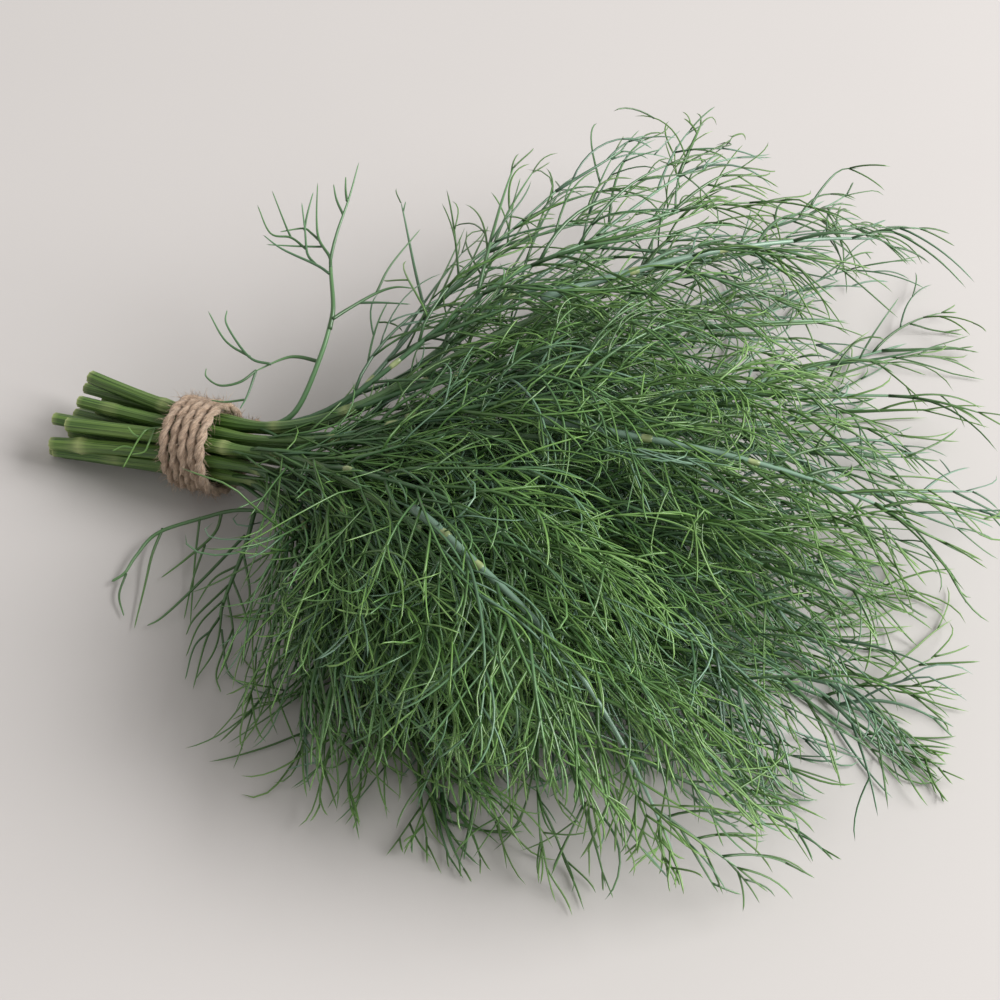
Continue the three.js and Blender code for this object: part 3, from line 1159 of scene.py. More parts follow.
@dataclass(frozen=True)
class FrondHabit:
    """Sizes of a frond: how many branches it has, how long they are and how thick."""

    pairs: int = 7
    first_gap: float = 0.02
    widest: float = 0.44
    least: float = 20.0
    early: float = 0.45
    pair_start: float = 0.3
    pair_scatter: float = 0.2
    pair_crowding: float = 0.9
    pair_shrinking: float = 0.7
    pair_lengths: Range = (0.7, 1.15)
    pair_closing: float = 18.0
    pair_tilts: float = 0.3
    last_pair: float = 0.97
    basal_stem: Range = (9.0, 38.0)
    basal_angle: Range = (4.0, 30.0)
    basal_length: Range = (32.0, 78.0)
    basal_level: float = 3.0
    twig_pitch: float = 10.5
    twig_length: float = 20.0
    twig_growth: float = 0.42
    twig_start: float = 0.6
    twig_scatter: float = 0.35
    twig_places: Range = (0.08, 0.97)
    twig_lengths: Range = (0.65, 1.3)
    twig_tilts: float = 0.45
    twig_curls: float = 0.015
    twigs_kept: float = 0.32
    thread_length: Range = (9.0, 22.0)
    thread_range: Range = (0.1, 0.93)
    thread_scatter: float = 0.07
    thread_bend: float = 1.5
    threads_kept: float = 0.6
    thread_tint: float = 0.04
    tip_tint: float = 0.08
    tip_thread_length: Range = (12.0, 24.0)
    tip_places: Range = (0.84, 0.97)
    thread_places: tuple[tuple[float, float], ...] = ((0.25, 0.75), (0.42, 0.75), (0.6, 0.6), (0.78, 0.4))
    axis_radius: float = 0.95
    bare_axis_radius: float = 1.35
    axis_end_radius: float = 0.34
    primary_radius: float = 0.56
    primary_end_radius: float = 0.2
    secondary_radius: float = 0.4
    thread_radius: float = 0.31
    tip_radius: float = 0.21
    taper_power: float = 1.4
    radius_spread: Range = (0.82, 1.15)
    withered_share: float = 0.0004
    withered_tint: float = 0.985
    usual_tint: float = 0.42
    near_tint: float = 0.1
    own_tints: float = 0.13
    tint_range: Range = (0.15, 0.78)
    axis_tint: float = 0.5
    bare_axis_tint: float = 0.03
    limb_tint: float = 0.8
    # Painted shade: tints drop towards the tie, where the foliage deep in the neck lies in shade.
    painted_shade_drop: float = 0.2
    painted_shade_floor: float = 0.4
    painted_shade_reach: Range = (40.0, 140.0)


class Frond:
    """One feathery leaf: a stalk, its axis, paired branches, their branches and the last threads."""

    joint_spots: tuple[float, ...] = (-2.2, -1.4, -0.4, 0.5, 1.5, 2.2)
    joint_swell: tuple[float, ...] = (0.8, 1.0, 1.1, 1.08, 0.98, 0.8)
    joint_map: Range = (0.022, 0.048)
    sagging_bare: float = 0.6
    crowning_bare: float = 0.72
    crowning_level: float = 0.45
    shortest_stalk: float = 13.0
    tip_gap: float = 0.3
    axis_steps: int = 30
    crowning_steps: int = 60
    far_extra: float = 0.06
    far_extra_bearings: Range = (30.0, 45.0)
    widest_at: float = 0.6
    foot: float = 0.7
    low_levels: tuple[float, ...] = (8.0, 4.0, 0.5)
    high_levels: tuple[float, ...] = (5.0, -4.0, 1.0)
    spread: float = 0.16
    drift: float = 1.2
    far_lean: float = 7.0
    sag: float = 20.0
    wobble: float = 1.6
    waves: Range = (5.0, 4.0)
    lowest: float = 1.2

    def __init__(self, line: StalkLine, kind: LeafKind, number: int, habit: FrondHabit) -> None:
        """Keeps the leaf's place.

        Args:
            line: The stalk that carries it.
            kind: Which of the stalk's leaves it is.
            number: The stalk's number.
            habit: Its sizes.
        """
        self.line, self.kind, self.habit = line, kind, habit
        self.name = f"frond_{number:02d}_{kind.label}"
        self.node_name = f"leaf_{number:02d}_{kind.label}"
        self.grower = FrondGrower(line.row, 1000 * number + 17 * (2 + kind.side))
        self.high = line.row >= 2
        self.crowning = kind is LeafKind.TIP and line.row == PLAN.top_row
        self.sagging = self.crowning and line.bearing < 0

    def axis(self) -> tuple[Array, float]:
        """Lays the leaf's axis out: bare over the top of a crowning leaf, and hanging on a sagging one.

        Returns:
            Its places and the share of it where the blade starts.
        """
        line, kind = self.line, self.kind
        node = line.node_of(kind)
        base = node + (self.tip_gap if kind is LeafKind.TIP else 0.0)
        bare = self.sagging_bare if self.sagging else self.crowning_bare if self.crowning else kind.blade
        blade = max(line.reach * bare, base + self.shortest_stalk)
        extra = self.far_extra * float(smoothstep(line.bearing, *self.far_extra_bearings))
        end = line.reach * (kind.end + extra)
        if self.sagging:
            end = line.reach
        along = np.linspace(base, end, self.crowning_steps if self.crowning else self.axis_steps)
        share = (along - base) / (end - base)
        spread = self.spread * (along - base) * np.sin(np.pi * np.minimum(share, self.widest_at))
        near = kind.side * (float(line.radius(node)) * self.foot)
        offset = near * smoothstep(along, base - 1.0, base + 4.0)
        offset = offset + kind.side * (spread + self.drift * share)
        if kind is LeafKind.TIP and line.bearing > 50:
            offset = offset + self.far_lean * share**2
        wobble = self.grower.scatter(3, self.wobble)
        offset = offset + wobble[0] * np.sin(share * self.waves[0] + wobble[1]) * share
        x, y = line.plan(along, offset)
        level = kind.ground if line.row == 0 else self.crowning_level if self.crowning else kind.level
        rise = 1.0 if kind is LeafKind.TIP else smoothstep(along, base + 1.0, blade)
        z = PLAN.height(line.row, x, y) + level * PLAN.spacing(line.row, x, y) * rise
        z = z + wobble[2] * np.sin(share * self.waves[1]) * share
        if self.sagging:
            z = z - self.sag * share**3
        return np.stack([x, y, np.maximum(z, self.lowest)], axis=-1), (blade - base) / (end - base)

    def build(self, origin: Array) -> bpy.types.Object:
        """Grows the leaf.

        Args:
            origin: The tie's middle in the part's frame.

        Returns:
            The leaf as one mesh.
        """
        habit, grower, high = self.habit, self.grower, self.high
        axis, blade = self.axis()
        mesh = TubeMesh()
        leaning = habit.usual_tint - habit.near_tint * math.sin(math.radians(self.line.bearing))
        own_tint = float(np.clip(grower.random.normal(leaning, habit.own_tints), *habit.tint_range))
        broad = habit.bare_axis_radius if self.crowning else habit.axis_radius
        thick = broad + (habit.axis_end_radius - broad) * np.linspace(0, 1, len(axis)) ** 0.9
        thick[-1] = habit.tip_radius
        shade = np.array([habit.bare_axis_tint if self.crowning else own_tint * habit.axis_tint])
        mesh.add(Strands(axis[None], thick[None], shade, start=0.05), sides=8 if self.crowning else 5)
        if high:
            self.joints(mesh, axis, thick, (0.5 * blade, blade) if self.crowning else (blade,))
        length = float(travel(axis)[-1]) * (1 - blade)
        primary = self.primaries(axis, blade, length, own_tint)
        if self.kind.side:
            primary = self.with_basal(primary, own_tint)
        if not self.sagging:
            primary = primary.pick(grower.thinned(primary, 0.5, 0.6))
        # Painted shade near the tie, passed on to every later branch through the tints.
        primary.tint = self.shaded(primary)
        limbs = grower.grow(primary, HIGH_LIMBS if high else LOW_LIMBS)
        limb_thick = self.taper(limbs, habit.primary_radius, habit.primary_end_radius)
        mesh.add(Strands(limbs, limb_thick, primary.tint * habit.limb_tint, start=0.05), sides=4)
        twigs, second = self.secondaries(limbs, primary)
        twig_thick = self.taper(twigs, habit.secondary_radius, habit.tip_radius)
        mesh.add(Strands(twigs, twig_thick, second.tint, start=0.1))
        self.threads(mesh, twigs, second)
        self.tip_threads(mesh, limbs, primary)
        return mesh.write(self.name, origin)

    def shaded(self, shoots: Shoots) -> Array:
        """Darkens branches towards the tie: painted shade for the foliage that lies in shade deep in the
        bunch's neck.

        Args:
            shoots: The branches.

        Returns:
            Their new tints.
        """
        away = np.hypot(shoots.at[:, 0], shoots.at[:, 1])
        darker = shoots.tint - self.habit.painted_shade_drop * (1 - smoothstep(away, *self.habit.painted_shade_reach))
        return np.minimum(shoots.tint, np.maximum(darker, self.habit.painted_shade_floor))

    def tinted(self, base: Array, count: int, spread: float, most: float = 0.92) -> Array:
        """Returns tints scattered about a base, clear of the withered end of the ramp."""
        return np.clip(base + self.grower.scatter(count, spread), 0.02, most)

    def joints(self, mesh: TubeMesh, axis: Array, thick: Array, shares: tuple[float, ...]) -> None:
        """Sets pale swollen joints on the axis.

        Args:
            mesh: Where the joints go.
            axis: The axis.
            thick: Its radii.
            shares: Where the joints sit, as shares of the axis.
        """
        at = np.linspace(0, 1, len(axis))
        length = float(travel(axis)[-1])
        for share in shares:
            spots = share + np.array(self.joint_spots) / length
            line = np.stack([np.interp(spots, at, axis[:, part]) for part in range(3)], axis=-1)
            swell = np.array(self.joint_swell) * np.interp(share, at, thick) + 0.05
            mesh.add(Strands(line[None], swell[None], np.array([0.5]), *self.joint_map), sides=8)

    def primaries(self, axis: Array, blade: float, length: float, own_tint: float) -> Shoots:
        """Starts the paired branches along the axis.

        Args:
            axis: The axis.
            blade: The share of it where the blade starts.
            length: The blade's length.
            own_tint: The leaf's tint.

        Returns:
            The branches.
        """
        habit, grower, random = self.habit, self.grower, self.grower.random
        first = blade * habit.early
        count = 2 * habit.pairs
        pair = np.repeat(np.arange(habit.pairs), 2)
        side = np.tile([1.0, -1.0], habit.pairs)
        scatter = random.uniform(-habit.pair_scatter, habit.pair_scatter, count)
        run = (pair + scatter + habit.pair_start) / habit.pairs
        run = habit.first_gap + run**habit.pair_crowding * (1 - habit.first_gap)
        run = np.clip(run, 0, habit.last_pair)
        style = HIGH_PAIRS if self.high else LOW_PAIRS
        reach = length * habit.widest * (1 - run) ** habit.pair_shrinking
        reach = reach * random.uniform(*habit.pair_lengths, count) + habit.least
        angle = np.radians(style.angle - habit.pair_closing * run + random.normal(0, style.angles, count))
        parents = np.broadcast_to(axis, (count, *axis.shape))
        level = grower.scatter(count, style.levels) + self.level_bias() + float(random.normal(0, 3.0))
        tint = self.tinted(own_tint, count, style.tints, 0.88)
        bend = -side * style.inward + grower.scatter(count, style.curls)
        tilt = float(random.normal(0, habit.pair_tilts))
        shares = first + (1 - first) * run
        return grower.branch(style, parents, shares, side, angle, reach, level, tint, bend, tilt)

    def with_basal(self, primary: Shoots, own_tint: float) -> Shoots:
        """Adds the leaf's lowest branches, which leave the stalk just past the tie.

        Args:
            primary: The branches of the axis.
            own_tint: The leaf's tint.

        Returns:
            All the branches.
        """
        grower, line, random = self.grower, self.line, self.grower.random
        crown = line.row == PLAN.top_row
        if line.bearing > 30 and not crown:
            return primary
        many = 6 if line.outer[-1] else max(1, 4 - line.bearing // 12) if crown else 2
        count = many if self.kind is LeafKind.RIGHT else 1
        habit, style = self.habit, BASAL_BRANCHES
        stem = line.points(np.linspace(*habit.basal_stem, 24))
        share = (np.arange(count) + random.uniform(0.1, 0.9, count)) / count
        side = np.full(count, float(self.kind.side))
        angle = np.radians(random.uniform(*habit.basal_angle, count))
        reach = random.uniform(*habit.basal_length, count)
        parents = np.broadcast_to(stem, (count, *stem.shape))
        level = grower.scatter(count, style.levels) + habit.basal_level
        tint = self.tinted(own_tint, count, style.tints, 0.88)
        bend = grower.scatter(count, style.curls)
        return primary.join(grower.branch(style, parents, share, side, angle, reach, level, tint, bend))

    def level_bias(self) -> float:
        """Returns how far the foliage lies off its row's middle surface."""
        left, right, tip = self.low_levels if self.line.row == 0 else self.high_levels
        return {1: left, -1: right, 0: tip}[self.kind.side]

    def taper(self, strands: Array, base: float, tip: float) -> Array:
        """Gives strands their radii.

        Args:
            strands: The strands' places.
            base: The usual radius where a strand starts.
            tip: The usual radius where it ends.

        Returns:
            The radii, strand by strand.
        """
        share = np.linspace(0, 1, strands.shape[1])
        thick = base + (tip - base) * share**self.habit.taper_power
        spread = self.grower.random.uniform(*self.habit.radius_spread, len(strands))
        return thick[None, :] * spread[:, None]

    def secondaries(self, limbs: Array, primary: Shoots) -> tuple[Array, Shoots]:
        """Grows the second generation.

        Args:
            limbs: The first generation's places.
            primary: How it started.

        Returns:
            Its places, and how it started.
        """
        grower, random = self.grower, self.grower.random
        habit, style = self.habit, TWIG_BRANCHES
        counts = np.maximum(2, np.round(primary.length / habit.twig_pitch)).astype(int)
        owner = np.repeat(np.arange(len(limbs)), counts * 2)
        count = len(owner)
        order = np.concatenate([np.repeat(np.arange(n), 2) for n in counts])
        side = np.concatenate([np.tile([1.0, -1.0], n) for n in counts])
        scatter = random.uniform(-habit.twig_scatter, habit.twig_scatter, count)
        share = (order + habit.twig_start + scatter) / (counts[owner] + 0.5)
        share = np.clip(habit.twig_places[0] + 0.9 * share, *habit.twig_places)
        length = primary.length[owner] * (1 - share) * habit.twig_growth + habit.twig_length
        length = length * random.uniform(*habit.twig_lengths, count)
        angle = np.radians(style.angle + random.normal(0, style.angles, count))
        level = primary.level[owner] + grower.scatter(count, style.levels)
        tint = self.tinted(primary.tint[owner], count, style.tints, 0.9)
        own = grower.scatter(len(limbs), habit.twig_curls) - (0.014 if self.line.bearing > 15 else 0.006)
        tilt = grower.scatter(len(limbs), habit.twig_tilts)[owner]
        bend = primary.bend[owner] + own[owner] - side * style.inward + grower.scatter(count, style.curls)
        shoots = grower.branch(style, limbs[owner], share, side, angle, length, level, tint, bend, tilt)
        shoots = shoots.pick(grower.thinned(shoots, 1.0 if self.sagging else habit.twigs_kept))
        return grower.grow(shoots, TWIGS), shoots

    def threads(self, mesh: TubeMesh, twigs: Array, second: Shoots) -> None:
        """Grows the last generation on the second one.

        Args:
            mesh: Where the threads go.
            twigs: The second generation's places.
            second: How it started.
        """
        grower, random, habit = self.grower, self.grower.random, self.habit
        style = THREAD_BRANCHES
        for place, chance in habit.thread_places:
            chosen = np.flatnonzero(random.random(len(twigs)) < chance)
            count = len(chosen)
            scatter = random.uniform(-habit.thread_scatter, habit.thread_scatter, count)
            share = np.clip(place + scatter, *habit.thread_range)
            side = np.where(random.random(count) < 0.5, 1.0, -1.0)
            span = random.uniform(*habit.thread_length, count) * (0.6 + second.length[chosen] / 70.0)
            span = span * (1.2 - 0.5 * place)
            angle = np.radians(style.angle + random.normal(0, style.angles, count))
            level = second.level[chosen] + grower.scatter(count, style.levels)
            tint = self.tinted(second.tint[chosen] + habit.thread_tint, count, style.tints)
            tint = np.where(random.random(count) < habit.withered_share, habit.withered_tint, tint)
            bend = second.bend[chosen] * habit.thread_bend - side * style.inward
            bend = bend + grower.scatter(count, style.curls)
            shoots = grower.branch(style, twigs[chosen], share, side, angle, span, level, tint, bend)
            shoots = shoots.pick(grower.thinned(shoots, habit.threads_kept))
            grown = grower.grow(shoots, THREADS)
            thick = self.taper(grown, habit.thread_radius, habit.tip_radius)
            mesh.add(Strands(grown, thick, shoots.tint, start=0.2))

    def tip_threads(self, mesh: TubeMesh, limbs: Array, primary: Shoots) -> None:
        """Grows the few long threads that end each branch.

        Args:
            mesh: Where the threads go.
            limbs: The first generation's places.
            primary: How it started.
        """
        grower, random, habit, style = self.grower, self.grower.random, self.habit, TIP_BRANCHES
        owner = np.repeat(np.arange(len(limbs)), 2)
        count = len(owner)
        side = np.tile([1.0, -1.0], len(limbs))
        share = random.uniform(*habit.tip_places, count)
        span = random.uniform(*habit.tip_thread_length, count)
        angle = np.radians(style.angle + random.normal(0, style.angles, count))
        tint = self.tinted(primary.tint[owner] + habit.tip_tint, count, style.tints)
        level = primary.level[owner]
        shoots = grower.branch(style, limbs[owner], share, side, angle, span, level, tint)
        grown = grower.grow(shoots, TIP_THREADS)
        thick = self.taper(grown, habit.thread_radius, habit.tip_radius)
        mesh.add(Strands(grown, thick, tint, start=0.2))


# ---------------------------------------------------------------------------------------------------
# Stalks
# ---------------------------------------------------------------------------------------------------


@dataclass(frozen=True)
class Cut:
    """A stem's own cut end: how far it leans sideways and upwards, how much shorter it is, and its joints."""

    aside: float
    upward: float
    trim: float
    joints: tuple[float, ...] = ()


CUTS = (
    Cut(-1.2, 0.0, 0.0),
    Cut(0.6, -0.4, 2.0),
    Cut(1.6, 0.2, 1.0),
    Cut(-2.6, 0.8, 1.0, (-26.0,)),
    Cut(-0.8, 1.4, 0.5),
    Cut(1.2, -0.6, 3.0),
    Cut(2.6, 0.6, 2.0),
    Cut(-2.2, -1.6, 2.5, (-37.0, -35.0)),
    Cut(-1.4, 1.6, 0.0, (10.5,)),
    Cut(0.9, 0.4, 5.0),
    Cut(2.2, -1.2, 3.0),
    Cut(-1.8, -0.6, 3.5, (10.5,)),
    Cut(0.8, 1.2, 4.0, (-31.0,)),
    Cut(5.2, 1.0, 6.0, (-15.0,)),
)


@dataclass
class Stalk:
    """One cut stem: a ribbed rod from its cut end through the tie to the base of its tip leaf."""

    line: StalkLine
    number: int
    cut: Cut
    ribs: int = 9
    groove: float = 0.9
    ring_step: float = 2.6
    edge_pallor: Range = (0.95, 0.35)
    splay_start: float = 9.0
    splay_length: float = 38.0
    splay_power: float = 1.3
    joint_swell: float = 0.22
    joint_width: float = 1.8
    joint_pallor: float = 0.56
    pallor_width: float = 1.3
    slimmest: float = 0.8
    slim_spread: float = 0.15
    lowest: float = 2.6
    # The near rise is partly the stem's bloom and partly painted shade under the leaves past the tie; the far
    # rise is the bloom on the thin end.
    bloom_near: Range = (6.0, 40.0)
    bloom_far: Range = (60.0, 105.0)
    near_bloom: float = 0.6
    most_bloom: float = 0.8
    rim_width: float = 0.16
    pith_inset: float = 0.3
    pith_depth: float = 0.1
    pith_edge: float = 0.8
    rim_pith: float = 0.3
    cut_pallor: float = 0.9
    end_pallor: float = 0.2
    grain_scale: float = 0.01
    cut_grain_scale: float = 0.02
    smooth_angle: float = math.radians(50)

    @property
    def name(self) -> str:
        """Returns the piece's name."""
        return f"stalk_{self.number:02d}"

    def stations(self) -> Array:
        """Sets the rings out.

        Returns:
            Their distances along the line.
        """
        start = -PLAN.cut_length - PLAN.cut_spread * math.sin(self.number * 2.4) + self.cut.trim
        end = self.line.reach * LeafKind.TIP.node + 2.0
        count = int((end - start) / self.ring_step)
        return np.concatenate([[start, start + 0.5], np.linspace(start + 2.0, end, count)])

    def swelling(self, along: Array, width: float) -> Array:
        """Returns how near to a joint each distance is, from 0 to 1 at the joint."""
        nodes = [self.line.node_of(kind) for kind in (LeafKind.LEFT, LeafKind.RIGHT)]
        return sum(np.exp(-(((along - node) / width) ** 2)) for node in (*nodes, *self.cut.joints))

    def build(self, origin: Array) -> bpy.types.Object:
        """Builds the stem: a ribbed disc, inset at the cut and drawn along the line.

        Args:
            origin: The tie's middle in the part's frame.

        Returns:
            The stem.
        """
        along = self.stations()
        centre = self.line.points(along)
        splay = (np.maximum(0.0, -along - self.splay_start) / self.splay_length) ** self.splay_power
        centre[:, 1] += self.cut.aside * splay
        centre[:, 2] = np.maximum(centre[:, 2] + self.cut.upward * splay, self.lowest)
        swell = 1 + self.joint_swell * self.swelling(along, self.joint_width)
        slim = self.slimmest + self.slim_spread * math.sin(self.number * 1.7) ** 2
        radius = self.line.radius(along) * swell * slim
        deselect_all()
        bpy.ops.mesh.primitive_circle_add(vertices=2 * self.ribs, radius=1.0, fill_type="NGON")
        piece = bpy.context.object
        piece.name = self.name
        bpy.ops.object.mode_set(mode="EDIT")
        bpy.ops.mesh.select_all(action="SELECT")
        bpy.ops.mesh.inset(thickness=self.rim_width, depth=0.0)
        bpy.ops.mesh.inset(thickness=self.pith_inset, depth=-self.pith_depth)
        bpy.ops.mesh.poke()
        bpy.ops.object.mode_set(mode="OBJECT")
        self.draw_out(piece, centre, radius, along)
        piece.data.transform(Matrix.Diagonal((MM, MM, MM, 1.0)) @ Matrix.Translation(Vector(origin)))
        return piece

    def draw_out(self, piece: bpy.types.Object, centre: Array, radius: Array, along: Array) -> None:
        """Draws the cut disc out along the line into a closed ribbed rod.

        The map Grain runs along the stem, and the colour Growth holds bloom, joints and pith; the bloom's
        early rise past the tie is partly painted shade.

        Args:
            piece: The disc.
            centre: The rod's middle at every ring.
            radius: Its radius at every ring.
            along: The rings' distances along the line.
        """
        mesh = bmesh.new()
        mesh.from_mesh(piece.data)
        growth = mesh.loops.layers.float_color.new("Growth")
        grain = mesh.loops.layers.uv.new("Grain")
        cut_faces = list(mesh.faces)
        sides = 2 * self.ribs
        tangent = unit(np.gradient(centre, axis=0))
        left = unit(np.cross(UP, tangent))
        over = np.cross(tangent, left)
        flute = np.where(np.arange(sides) % 2 == 0, 1.0, self.groove)
        turn = 2 * np.pi * np.arange(sides) / sides + np.pi / 2 + self.number
        ways = left[:, None] * np.cos(turn)[:, None] + over[:, None] * np.sin(turn)[:, None]
        rings = centre[:, None] + (radius[:, None] * flute)[:, :, None] * ways
        previous = self.lay_cut(mesh, centre[0], radius[0], (left[0], over[0], tangent[0]))
        for vert, spot in zip(previous, rings[0]):
            vert.co = Vector(spot)
        # Bloom that starts soon past the tie: partly real bloom, partly painted shade where the leaves close
        # over the stems.
        bloom = self.near_bloom * smoothstep(along, *self.bloom_near)
        bloom = bloom + (1 - self.near_bloom) * smoothstep(along, *self.bloom_far)
        pallor = self.swelling(along, self.pallor_width) * self.joint_pallor
        pallor[:2] += self.edge_pallor
        shift = (self.number * 0.37, self.number * 0.11)
        for index in range(1, len(along)):
            current = [mesh.verts.new(Vector(spot)) for spot in rings[index]]
            for side in range(sides):
                after = (side + 1) % sides
                face = mesh.faces.new((previous[side], previous[after], current[after], current[side]))
                marks = ((index - 1, side), (index - 1, side + 1), (index, side + 1), (index, side))
                for loop, (at, part) in zip(face.loops, marks):
                    loop[grain].uv = (along[at] * self.grain_scale + shift[0], part / sides + shift[1])
                    loop[growth] = (bloom[at] * self.most_bloom, min(1.0, pallor[at]), 0.0, 1.0)
            previous = current
        end = mesh.verts.new(Vector(centre[-1] + tangent[-1] * radius[-1] * 0.5))
        for side in range(sides):
            face = mesh.faces.new((previous[side], previous[(side + 1) % sides], end))
            for loop in face.loops:
                loop[grain].uv = (along[-1] * self.grain_scale, side / sides)
                loop[growth] = (self.most_bloom, self.end_pallor, 0.0, 1.0)
        for loop in (loop for face in cut_faces for loop in face.loops):
            inner = (loop.vert.co - Vector(centre[0])).length / radius[0]
            loop[grain].uv = (inner * self.cut_grain_scale, 0.5)
            loop[growth] = (0.0, self.cut_pallor, 1.0 if inner < self.pith_edge else self.rim_pith, 1.0)
        bmesh.ops.recalc_face_normals(mesh, faces=mesh.faces)
        mesh.to_mesh(piece.data)
        mesh.free()
        deselect_all()
        piece.select_set(True)
        bpy.context.view_layer.objects.active = piece
        bpy.ops.object.shade_smooth_by_angle(angle=self.smooth_angle)

    def lay_cut(
        self, mesh: bmesh.types.BMesh, centre: Array, radius: float, ways: tuple[Array, Array, Array]
    ) -> list[bmesh.types.BMVert]:
        """Turns the cut disc to face along the line and sets it at the line's start.

        Args:
            mesh: The disc.
            centre: Where its middle goes.
            radius: Its radius.
            ways: The directions to the left, over and along the line.

        Returns:
            The vertices of its rim, in order.
        """
        left, over, tangent = ways
        sides = 2 * self.ribs
        rim = {}
        for vert in mesh.verts:
            size, angle = math.hypot(vert.co.x, vert.co.y), math.atan2(vert.co.y, vert.co.x)
            if size > 0.99:
                rim[round((angle - np.pi / 2) / (2 * np.pi) * sides) % sides] = vert
                continue
            turned = left * math.cos(angle + self.number) + over * math.sin(angle + self.number)
            vert.co = Vector(centre + radius * (size * turned - tangent * vert.co.z))
        return [rim[side] for side in range(sides)]


# ---------------------------------------------------------------------------------------------------
# The loose sprigs
# ---------------------------------------------------------------------------------------------------


@dataclass(frozen=True)
class Shoot:
    """One shoot of a loose sprig: its base radius, the places it runs through and how fresh it is."""

    thick: float
    places: tuple[Place, ...]
    fresh: float = 0.0


# The far sprig rises out of the neck and forks into two bare crowns.
FAR_SHOOTS = (
    Shoot(0.95, ((9, 4.5, 23.5), (17, 7, 24.5), (24.5, 13, 28.5), (26.5, 28, 39), (25.5, 39.5, 46))),
    Shoot(0.72, ((26.5, 34, 43), (25, 40, 46), (19.5, 50.5, 48), (17, 55.5, 49))),
    Shoot(0.55, ((18.5, 52.5, 48.5), (17, 56, 49.2), (15.5, 64, 52), (14.5, 75, 56), (12.5, 87, 60))),
    Shoot(0.4, ((15, 69.5, 54), (11, 73.5, 55.5), (8, 78, 57))),
    Shoot(0.4, ((14.5, 73.5, 56), (12.5, 77, 57), (10.5, 81.5, 58))),
    Shoot(0.5, ((18.5, 52.5, 48.5), (16.5, 56, 49.2), (11, 60.5, 50.5), (7, 67.5, 52), (1.5, 80, 54))),
    Shoot(0.42, ((11, 60.5, 50), (7.5, 62.5, 50), (4.5, 63, 50.5), (-1, 58.5, 51))),
    Shoot(0.5, ((19, 50.5, 48), (14, 52, 48.5), (2.5, 53, 50), (-5, 55.5, 51))),
    Shoot(0.42, ((14, 52, 48.5), (10, 54.5, 49.5), (6, 61.5, 51.5), (1, 70, 54))),
    Shoot(0.36, ((5.5, 62, 51), (4, 67.5, 52.5), (2.5, 75, 54.5))),
    Shoot(0.42, ((9, 56, 49.5), (3, 58, 50.5), (-3, 56.5, 51.5), (-11.5, 65, 53))),
    Shoot(0.38, ((3, 58, 50.5), (-0.5, 61.5, 51.5), (-10, 72, 53.5))),
    Shoot(0.38, ((13, 59.5, 49), (6.5, 56.5, 49.5), (-2.5, 52.5, 50.5))),
    Shoot(0.55, ((26.5, 36.5, 45), (29, 42, 45), (34, 50.5, 45.5), (38.5, 54.5, 46), (43.5, 56, 46))),
    Shoot(0.42, ((34, 50.5, 45.5), (34, 61, 47.5), (37, 76.5, 50))),
    Shoot(0.4, ((31, 45.5, 45), (37, 48, 45), (45, 50.5, 45))),
    Shoot(0.6, ((25.5, 27, 36), (19.5, 26.5, 36), (15.5, 24, 36), (10, 16, 36))),
    Shoot(0.45, ((14, 20, 37), (7.5, 19, 38.5), (-3, 26, 41), (-5.5, 31, 42))),
    Shoot(0.42, ((7.5, 19.5, 38), (-1, 21, 40), (-10.5, 28.5, 42))),
    Shoot(0.42, ((10.5, 17, 36), (8, 11.5, 35.5), (3, 8.5, 35), (-2.5, 10.5, 34.5), (-4.5, 14, 34))),
    Shoot(0.4, ((10.5, 17, 36), (11, 10, 33), (10.5, 5.5, 31))),
    Shoot(0.36, ((10.5, 8.5, 32), (5.5, 6, 31.5), (1, 5.5, 31))),
)

